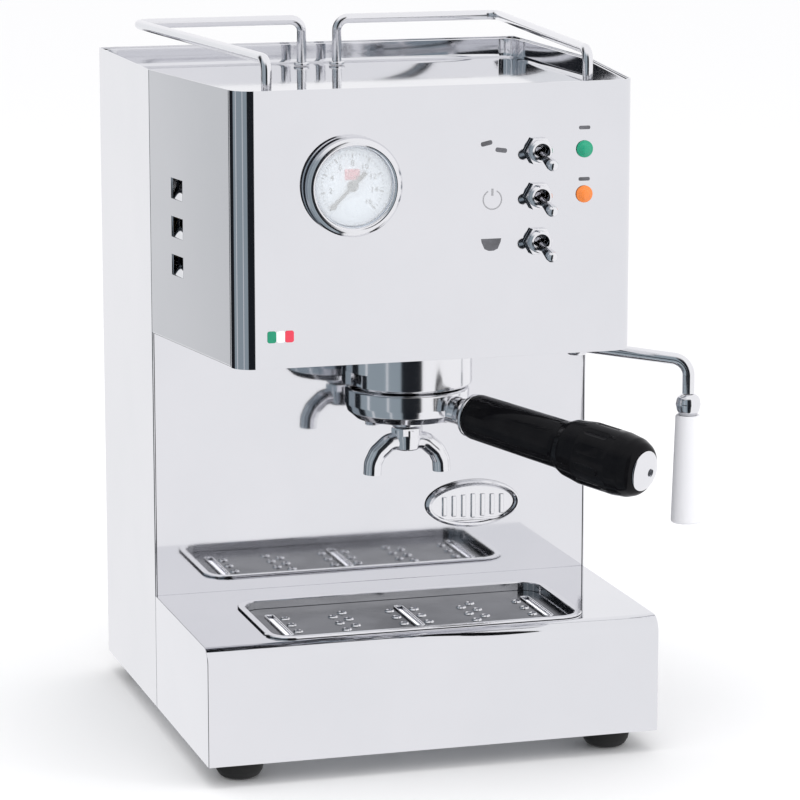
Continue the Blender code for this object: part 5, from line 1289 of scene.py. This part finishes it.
@dataclass
class Gauge:
    """The pressure gauge: rolled bezel, printed dial, needle and glass."""

    bench: Bench
    body: Body
    x: float = -0.0465
    drop: float = 0.050
    radius: float = 0.026
    dial: float = 0.0202
    start_angle: float = 225.0
    sweep: float = 270.0

    @property
    def place(self) -> Matrix:
        """The gauge's axis, out of the front, with local Y up."""
        z = self.body.top - self.drop
        return aim((self.x, -self.body.head_depth, z), (0, -1, 0))

    def build(self) -> None:
        """Builds the gauge."""
        self.case()
        self.face()
        self.needle()
        self.glass()

    def case(self) -> None:
        """The chromed case and its thick rounded bezel."""
        r, d = self.radius, self.dial
        back = -0.024
        section = [(0.0, back + 0.0012), (d - 0.0022, back + 0.0012), (d - 0.0022, 0.0012),
                   (d + 0.0006, 0.0012)]
        section += [(d + 0.0006, 0.0060), (d + 0.0004, 0.0070), (d + 0.0010, 0.0080), (r - 0.0040, 0.0088)]
        section += [(r - 0.0022, 0.0086), (r - 0.0008, 0.0074), (r, 0.0054), (r, 0.0010),
                    (r - 0.0006, 0.0003)]
        section += [(d, 0.0003), (d, back), (0.0, back)]
        work = lathe(soft_corners(section, 0.0016, 5), 144)
        self.bench.put(moved(work, self.place), "gauge_bezel", Finishes.CHROME, stands_for=["gauge_case"],
                       slot="chrome")

    def face(self) -> None:
        """The dial with its ticks, its numbers and a plain red field over the hub."""
        face = self.dial + 0.0003
        work = lathe([(0.0012, 0.0022), (face, 0.0022), (face, 0.0015), (0.0012, 0.0015),
                      (0.0012, 0.0022)], 96)
        # The dial face carries a faint painted glow.
        self.bench.put(moved(work, self.place), "gauge_face", Finishes.DIAL, stands_for=["gauge_dial"],
                       slot="dial_white")
        for number in range(41):
            long = number % 5 == 0
            angle = math.radians(self.start_angle - self.sweep * number / 40)
            outer, inner = 0.0170, 0.0146 if long else 0.0160
            width = 0.00075 if long else 0.00040
            tick = block((inner, -width / 2, 0.0022), (outer, width / 2, 0.00245))
            tick = moved(tick, Matrix.Rotation(angle, 4, "Z"))
            self.bench.put(moved(tick, self.place), f"gauge_tick_{number:02d}", Finishes.DIAL_INK)
        for number in range(9):
            angle = math.radians(self.start_angle - self.sweep * number / 8)
            self.numeral(str(number * 2), 0.0118 * math.cos(angle), 0.0118 * math.sin(angle))
        field_shape = plate([rounded_rectangle(0.0080, 0.0056, 0.0008, (-0.0002, 0.0060), 4)], 0.00010,
                            0.00002)
        field_shape = moved(field_shape, Matrix.Translation((0, 0, 0.00226)))
        self.bench.put(moved(field_shape, self.place), "gauge_red_field", Finishes.DIAL_RED)

    def numeral(self, text: str, x: float, y: float) -> None:
        """A number on the dial."""
        letters = bpy.data.curves.new("numeral", "FONT")
        letters.body = text
        letters.size = 0.0042
        letters.align_x = "CENTER"
        letters.align_y = "CENTER"
        letters.extrude = 0.00010
        work = from_curve(letters)
        work = moved(work, Matrix.Translation((x, y, 0.00236)))
        self.bench.put(moved(work, self.place), f"gauge_number_{text}", Finishes.DIAL_INK)

    def needle(self) -> None:
        """The black needle, pointing low to the left, with its tail and hub."""
        turn = Matrix.Rotation(math.radians(135.0), 4, "Z")
        outline = [(-0.0013, -0.0098), (0.0013, -0.0098), (0.0008, 0.0), (0.00075, 0.0128),
                   (0.0015, 0.0140)]
        outline += [(0.0014, 0.0156), (0.0, 0.0170), (-0.0014, 0.0156), (-0.0015, 0.0140),
                    (-0.00075, 0.0128)]
        outline += [(-0.0008, 0.0)]
        blade = moved(plate([outline], 0.0006, 0.00012), turn @ Matrix.Translation((0, 0, 0.0031)))
        hub = lathe(soft_corners([(0.0, 0.0044), (0.0022, 0.0042), (0.0030, 0.0034), (0.0030, 0.0026),
                                  (0.0, 0.0026)], 0.0006), 48)
        spindle = drum(0.0008, 0.0006, 0.0030, 24)
        work = carved(hub, [blade, spindle], Operation.JOIN)
        self.bench.put(moved(work, self.place), "gauge_pointer", Finishes.NEEDLE, "needle",
                       stands_for=["gauge_needle"], slot="needle_black")

    def glass(self) -> None:
        """The flat glass, slightly domed at its edge."""
        face = self.dial + 0.0003
        section = [(0.0, 0.0062), (face - 0.001, 0.0061), (face, 0.0056), (face, 0.0050), (0.0, 0.0050)]
        self.bench.put(moved(lathe(section, 96), self.place), "gauge_window", Finishes.GLASS,
                       stands_for=["gauge_glass"], slot="clear_glass")


@dataclass
class Controls:
    """Three toggle switches and two lamps."""

    bench: Bench
    body: Body
    x: float = 0.0545
    lamp_x: float = 0.080
    drop: float = 0.0355
    pitch: float = 0.0237
    tilt: float = 12.0
    length: float = 0.027

    def build(self) -> None:
        """Builds the switches and the lamps."""
        heights = [self.body.top - self.drop - self.pitch * number for number in range(3)]
        for name, z in zip(("power", "steam", "brew"), heights):
            self.switch(name, z)
        lamps = (("lamp_power", Finishes.GREEN_LENS, "green_lens"),
                 ("lamp_heating", Finishes.ORANGE_LENS, "orange_lens"))
        for (name, finish, slot), z in zip(lamps, heights):
            self.lamp(name, finish, slot, z)

    def front(self, x: float, z: float) -> Matrix:
        """A frame on the front panel that looks out of it."""
        return aim((x, -self.body.head_depth, z), (0, -1, 0))

    def switch(self, name: str, z: float) -> None:
        """A toggle: threaded bush, hexagonal nut and bat lever."""
        place = self.front(self.x, z)
        section = [(0.0, -0.004), (0.0036, -0.004), (0.0036, 0.0030), (0.0044, 0.0070), (0.0054, 0.0070)]
        for ridge in range(5):
            level = 0.0066 - ridge * 0.0007
            section += [(0.0058, level), (0.0055, level - 0.00035)]
        section += [(0.0058, 0.0028), (0.0058, -0.010), (0.0, -0.010)]
        bush = lathe(section, 64)
        nut = eased(carved(prism(ring(0.0078, 6), 0.0003, 0.0033), [drum(0.0056, -0.01, 0.01)]), 0.0003,
                    2, 40.0)
        casing = block((-0.0065, -0.010, -0.027), (0.0065, 0.010, -0.009), 0.0008, 2)
        work = carved(bush, [casing, nut], Operation.JOIN)
        self.bench.put(moved(work, place), f"switch_{name}_bush", Finishes.CHROME,
                       stands_for=[f"switch_body_{name}"], slot="chrome")
        lever = [(0.0, self.length), (0.0019, self.length - 0.0003), (0.0029, self.length - 0.0018)]
        lever += [(0.0031, self.length - 0.0045), (0.0020, 0.0100), (0.0018, 0.0030), (0.0026, 0.0012)]
        lever += [(0.0026, -0.0012), (0.0012, -0.0026), (0.0, -0.0026)]
        work = lathe(soft_corners(lever, 0.003, 5), 48)
        turn = place @ Matrix.Rotation(math.radians(self.tilt), 4, "X")
        self.bench.put(moved(work, turn), f"lever_{name}_bat", Finishes.CHROME, f"{name}_lever",
                       stands_for=[f"switch_lever_{name}"], slot="chrome")

    def lamp(self, name: str, finish: Finishes, slot: str, z: float) -> None:
        """A lamp with a domed lens in a thin flange."""
        r = 0.0037
        section = [(0.0, 0.0026), (r * 0.6, 0.0022), (r * 0.92, 0.0012), (r + 0.0008, 0.0009),
                   (r + 0.0008, 0.0003)]
        section += [(r, 0.0003), (r, -0.014), (0.0, -0.014)]
        work = lathe(soft_corners(section, 0.0012, 4), 56)
        self.bench.put(moved(work, self.front(self.lamp_x, z)), name + "_lens", finish, stands_for=[name],
                       slot=slot)


# ---------------------------------------------------------------- steam side


@dataclass
class Steam:
    """The steam wand with its insulating sleeve, and the valve's knob."""

    bench: Bench
    body: Body
    wand: Pair = (0.104, -0.045)
    angle: float = 30.0
    reach: float = 0.062
    drop: float = 0.012
    knob: Pair = (0.045, 0.300)

    def build(self) -> None:
        """Builds fitting, wand, sleeve and knob."""
        top = self.body.head_bottom - 0.0003
        seat = Matrix.Translation((*self.wand, 0.0))
        section = [(0.0, top + 0.010), (0.0045, top + 0.010), (0.0045, top), (0.0068, top),
                   (0.0068, top - 0.0028)]
        section += [(0.0060, top - 0.0035), (0.0, top - 0.0035)]
        self.bench.put(moved(lathe(section, 64), seat), "steam_union", Finishes.CHROME,
                       stands_for=["steam_fitting"], slot="chrome")
        self.tube_and_tip(top, seat)
        self.knob_and_stem()

    def tube_and_tip(self, top: float, seat: Matrix) -> None:
        """The bent tube, the nut on its end and the sleeve over it."""
        heading = math.radians(self.angle)
        out = Vector((math.cos(heading), -math.sin(heading), 0.0))
        barrel_top = top - 0.0038
        origin = Vector((*self.wand, barrel_top - 0.0065))
        elbow = origin + out * self.reach + Vector((0, 0, -0.0060))
        end = origin + out * self.reach + Vector((0, 0, -self.drop - 0.012))
        path = bent_path([origin, elbow, end], 0.020, 16)
        barrel = lathe(soft_corners([(0.0, barrel_top), (0.0060, barrel_top), (0.0060, barrel_top - 0.0100),
                                     (0.0048, barrel_top - 0.0115), (0.0, barrel_top - 0.0115)], 0.001), 56)
        work = carved(tube(path, 0.0034, 8), [moved(barrel, seat)], Operation.JOIN)
        self.bench.put(work, "wand_pipe", Finishes.CHROME, "steam_wand", stands_for=["wand_tube"],
                       slot="chrome")
        nut = [(0.0, 0.0003), (0.0036, 0.0003), (0.0062, 0.0022), (0.0070, 0.0060), (0.0062, 0.0098)]
        nut += [(0.0048, 0.0118), (0.0048, 0.0270), (0.0040, 0.0285), (0.0, 0.0285)]
        nut = [(radius, -height) for radius, height in nut]
        hanging = Matrix.Translation(end)
        self.bench.put(moved(lathe(soft_corners(nut, 0.003, 5), 64), hanging), "wand_nut", Finishes.CHROME,
                       "steam_wand", stands_for=["wand_tip"], slot="chrome")
        low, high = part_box("wand_sleeve")
        level, foot = high.z - end.z, low.z - end.z
        sleeve = [(0.0051, foot + 0.002), (0.0051, level), (0.0064, level), (0.0068, level - 0.0008)]
        sleeve += [(0.0086, foot + 0.0010), (0.0080, foot), (0.0058, foot), (0.0051, foot + 0.002)]
        # The sleeve's milky plastic carries a faint painted glow.
        self.bench.put(moved(lathe(sleeve, 72), hanging), "wand_grip", Finishes.MILKY, "steam_wand",
                       stands_for=["wand_sleeve"], slot="milky_plastic")

    def knob_and_stem(self) -> None:
        """The fluted steam knob on the column's right side."""
        face = aim((self.body.half, *self.knob), (1, 0, 0))
        r, length, stem = 0.017, 0.020, 0.0045
        section = [(0.0, length), (r - 0.0035, length), (r - 0.0008, length - 0.0012), (r, length - 0.0040)]
        section += [(r, 0.0075), (r - 0.0015, 0.0050), (0.0095, 0.0012), (stem + 0.0003, 0.0012)]
        section += [(stem + 0.0003, 0.0063), (0.0, 0.0063)]
        work = lathe(soft_corners(section, 0.0015, 4), 96)
        grooves = [drum(r * 0.34, 0.003, length + 0.003, 40) for _ in range(8)]
        for number, groove in enumerate(grooves):
            angle = FULL_TURN * number / 8
            moved(groove, Matrix.Translation((r * 1.22 * math.cos(angle), r * 1.22 * math.sin(angle), 0.0)))
        work = eased(carved(work, grooves), 0.0007, 3, 35.0)
        self.bench.put(moved(work, face), "steam_knob_fluted", Finishes.BLACK_GLOSS, "steam_knob",
                       stands_for=["steam_knob"], slot="black_plastic")


# ---------------------------------------------------------------- what stays from the frame


@dataclass
class Insides:
    """The CAD nodes that stay: inner parts and flat sheets, each in its own finish."""

    finishes: dict[str, Finishes] = field(default_factory=lambda: {
        "floor_pan": Finishes.INNER_STEEL, "column_panel": Finishes.MIRROR_STEEL,
        "tray_bracket_front": Finishes.INNER_STEEL, "tray_bracket_rear": Finishes.INNER_STEEL,
        "group_gasket": Finishes.RUBBER, "shower_screen": Finishes.INNER_STEEL,
        "filter_basket": Finishes.INNER_STEEL, "steam_valve": Finishes.BRASS, "boiler_base": Finishes.BRASS,
        "boiler": Finishes.BRASS, "heating_element": Finishes.INNER_STEEL,
        "tank_shelf": Finishes.INNER_STEEL,
        # The suction hose takes the milky plastic with its faint painted glow.
        "tank_valve": Finishes.BLACK_PLASTIC, "suction_hose": Finishes.MILKY, "pump": Finishes.GREY_PLASTIC,
        "pump_cradle": Finishes.RUBBER, "pressure_pipe": Finishes.COPPER, "brew_valve": Finishes.BRASS,
        "wand_feed": Finishes.COPPER, "steam_feed": Finishes.COPPER, "gauge_pipe": Finishes.COPPER,
        "power_inlet": Finishes.BLACK_PLASTIC, "water_tank": Finishes.CLEAR_PLASTIC,
        "tank_lid": Finishes.GREY_PLASTIC,
    })

    def build(self) -> None:
        """Dresses every node that is still shown."""
        for name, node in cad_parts.items():
            if node.hide_render:
                continue
            finish = self.finishes.get(name, Finishes.INNER_STEEL)
            node.data.materials.clear()
            node.data.materials.append(finish.material)
            log.info("%s keeps its CAD shape in %s", name, finish.value.name)


# ---------------------------------------------------------------- studio


@dataclass
class Studio:
    """A pale floor, a white surround with dark flags for polished metal, soft lights, the camera."""

    bench: Bench
    offset: tuple[float, float, float] = (0.0157, 0.0, 0.1777)
    yaw: float = 16.58
    pitch: float = 11.06
    distance: float = 2.013
    lens: float = 162.7
    flags: tuple[tuple[float, float, Colour], ...] = (
        (-180.0, -144.0, (0.27, 0.32, 0.36)),
        (-144.0, -140.0, (0.62, 0.64, 0.68)),
        (-140.0, -117.0, (0.27, 0.32, 0.36)),
        (-117.0, -80.0, (0.012, 0.014, 0.018)),
        (-80.0, 104.0, (0.96, 0.96, 0.98)),
        (104.0, 117.5, (0.90, 0.91, 0.93)),
        (117.5, 120.0, (0.76, 0.77, 0.79)),
        (120.0, 125.0, (0.62, 0.63, 0.65)),
        (125.0, 158.0, (0.012, 0.014, 0.018)),
        (158.0, 175.0, (0.27, 0.32, 0.36)),
        (175.0, 179.0, (0.62, 0.64, 0.68)),
    )

    @property
    def target(self) -> Vector:
        """The point that the camera looks at."""
        return self.bench.shift + Vector(self.offset)

    def build(self) -> None:
        """Sets the scene round the machine."""
        self.floor()
        self.world()
        self.lights()
        self.camera()
        bpy.context.scene.view_settings.view_transform = "Standard"

    def floor(self) -> None:
        """A plain pale floor."""
        work = bmesh.new()
        bmesh.ops.create_grid(work, x_segments=1, y_segments=1, size=6.0)
        ground = as_object(work, "floor")
        material = bpy.data.materials.new("floor_paper")
        material.use_nodes = True
        shader = material.node_tree.nodes["Principled BSDF"]
        shader.inputs["Base Color"].default_value = (0.93, 0.93, 0.94, 1.0)
        shader.inputs["Roughness"].default_value = 0.9
        shader.inputs["Specular IOR Level"].default_value = 0.0
        ground.data.materials.append(material)
        ground.visible_glossy = False

    def world(self) -> None:
        """White for the camera, even light for matt surfaces, flags by azimuth for polished ones."""
        world = bpy.data.worlds.new("studio")
        bpy.context.scene.world = world
        world.use_nodes = True
        tree = world.node_tree
        nodes, links = tree.nodes, tree.links
        nodes.clear()
        place = nodes.new("ShaderNodeTexCoord")
        around = nodes.new("ShaderNodeTexGradient")
        around.gradient_type = "RADIAL"
        ramp = nodes.new("ShaderNodeValToRGB")
        ramp.color_ramp.interpolation = "LINEAR"
        stops = []
        soft = 1.0
        for start, end, colour in self.flags:
            stops += [(start + soft, colour), (end - soft, colour)]
        elements = ramp.color_ramp.elements
        while len(elements) > 1:
            elements.remove(elements[-1])
        for number, (angle, colour) in enumerate(stops):
            position = angle / 360.0 + 0.5
            element = elements[0] if number == 0 else elements.new(position)
            element.position = position
            element.color = (*colour, 1.0)
        split = nodes.new("ShaderNodeSeparateXYZ")
        overhead = nodes.new("ShaderNodeMapRange")
        overhead.inputs["From Min"].default_value = 0.55
        overhead.inputs["From Max"].default_value = 0.85
        above = nodes.new("ShaderNodeMix")
        above.data_type = "RGBA"
        above.inputs["B"].default_value = (0.95, 0.95, 0.97, 1.0)
        path = nodes.new("ShaderNodeLightPath")
        polished = nodes.new("ShaderNodeBackground")
        even = nodes.new("ShaderNodeBackground")
        even.inputs["Color"].default_value = (1.0, 1.0, 1.0, 1.0)
        even.inputs["Strength"].default_value = 1.05
        white = nodes.new("ShaderNodeBackground")
        white.inputs["Color"].default_value = (1.0, 1.0, 1.0, 1.0)
        glossy = nodes.new("ShaderNodeMixShader")
        seen = nodes.new("ShaderNodeMixShader")
        out = nodes.new("ShaderNodeOutputWorld")
        links.new(place.outputs["Generated"], around.inputs["Vector"])
        links.new(around.outputs["Fac"], ramp.inputs["Fac"])
        links.new(place.outputs["Generated"], split.inputs["Vector"])
        links.new(split.outputs["Z"], overhead.inputs["Value"])
        links.new(overhead.outputs["Result"], above.inputs["Factor"])
        links.new(ramp.outputs["Color"], above.inputs["A"])
        links.new(above.outputs["Result"], polished.inputs["Color"])
        links.new(path.outputs["Is Glossy Ray"], glossy.inputs["Fac"])
        links.new(even.outputs["Background"], glossy.inputs[1])
        links.new(polished.outputs["Background"], glossy.inputs[2])
        links.new(path.outputs["Is Camera Ray"], seen.inputs["Fac"])
        links.new(glossy.outputs["Shader"], seen.inputs[1])
        links.new(white.outputs["Background"], seen.inputs[2])
        links.new(seen.outputs["Shader"], out.inputs["Surface"])

    def lights(self) -> None:
        """A large soft light above and a narrow one at the front right."""
        for name, place, size, power in (
            ("overhead", Vector((-0.2, -0.3, 1.9)), (1.6, 1.2), 9.0),
            ("strip_right", Vector((1.3, -1.2, 1.1)), (0.25, 0.9), 3.0),
        ):
            data = bpy.data.lights.new(name, "AREA")
            data.shape = "RECTANGLE"
            data.size, data.size_y = size
            data.energy = power
            lamp = bpy.data.objects.new(name, data)
            lamp.location = place
            lamp.rotation_euler = (self.target - place).to_track_quat("-Z", "Y").to_euler()
            lamp.visible_glossy = False
            bpy.context.scene.collection.objects.link(lamp)

    def camera(self) -> None:
        """The camera, a little to the left and looking slightly down."""
        turn, dip = math.radians(self.yaw), math.radians(self.pitch)
        look = Vector((math.sin(turn) * math.cos(dip), math.cos(turn) * math.cos(dip), -math.sin(dip)))
        data = bpy.data.cameras.new("camera")
        data.lens = self.lens
        data.sensor_width = 36.0
        data.clip_end = 50.0
        thing = bpy.data.objects.new("camera", data)
        thing.location = self.target - look * self.distance
        thing.rotation_euler = look.to_track_quat("-Z", "Y").to_euler()
        bpy.context.scene.collection.objects.link(thing)
        bpy.context.scene.camera = thing


def main() -> None:
    """Builds the machine piece by piece, then the studio round it."""
    bench = Bench.from_frame()
    body = Body.measured(bench)
    Base(bench, body).build()
    Column(bench, body).build()
    Head(bench, body).build()
    CupTray(bench, body).build()
    Group(bench, body).build()
    Gauge(bench, body).build()
    Controls(bench, body).build()
    Steam(bench, body).build()
    Insides().build()
    Studio(bench).build()


if __name__ == "__main__":
    main()
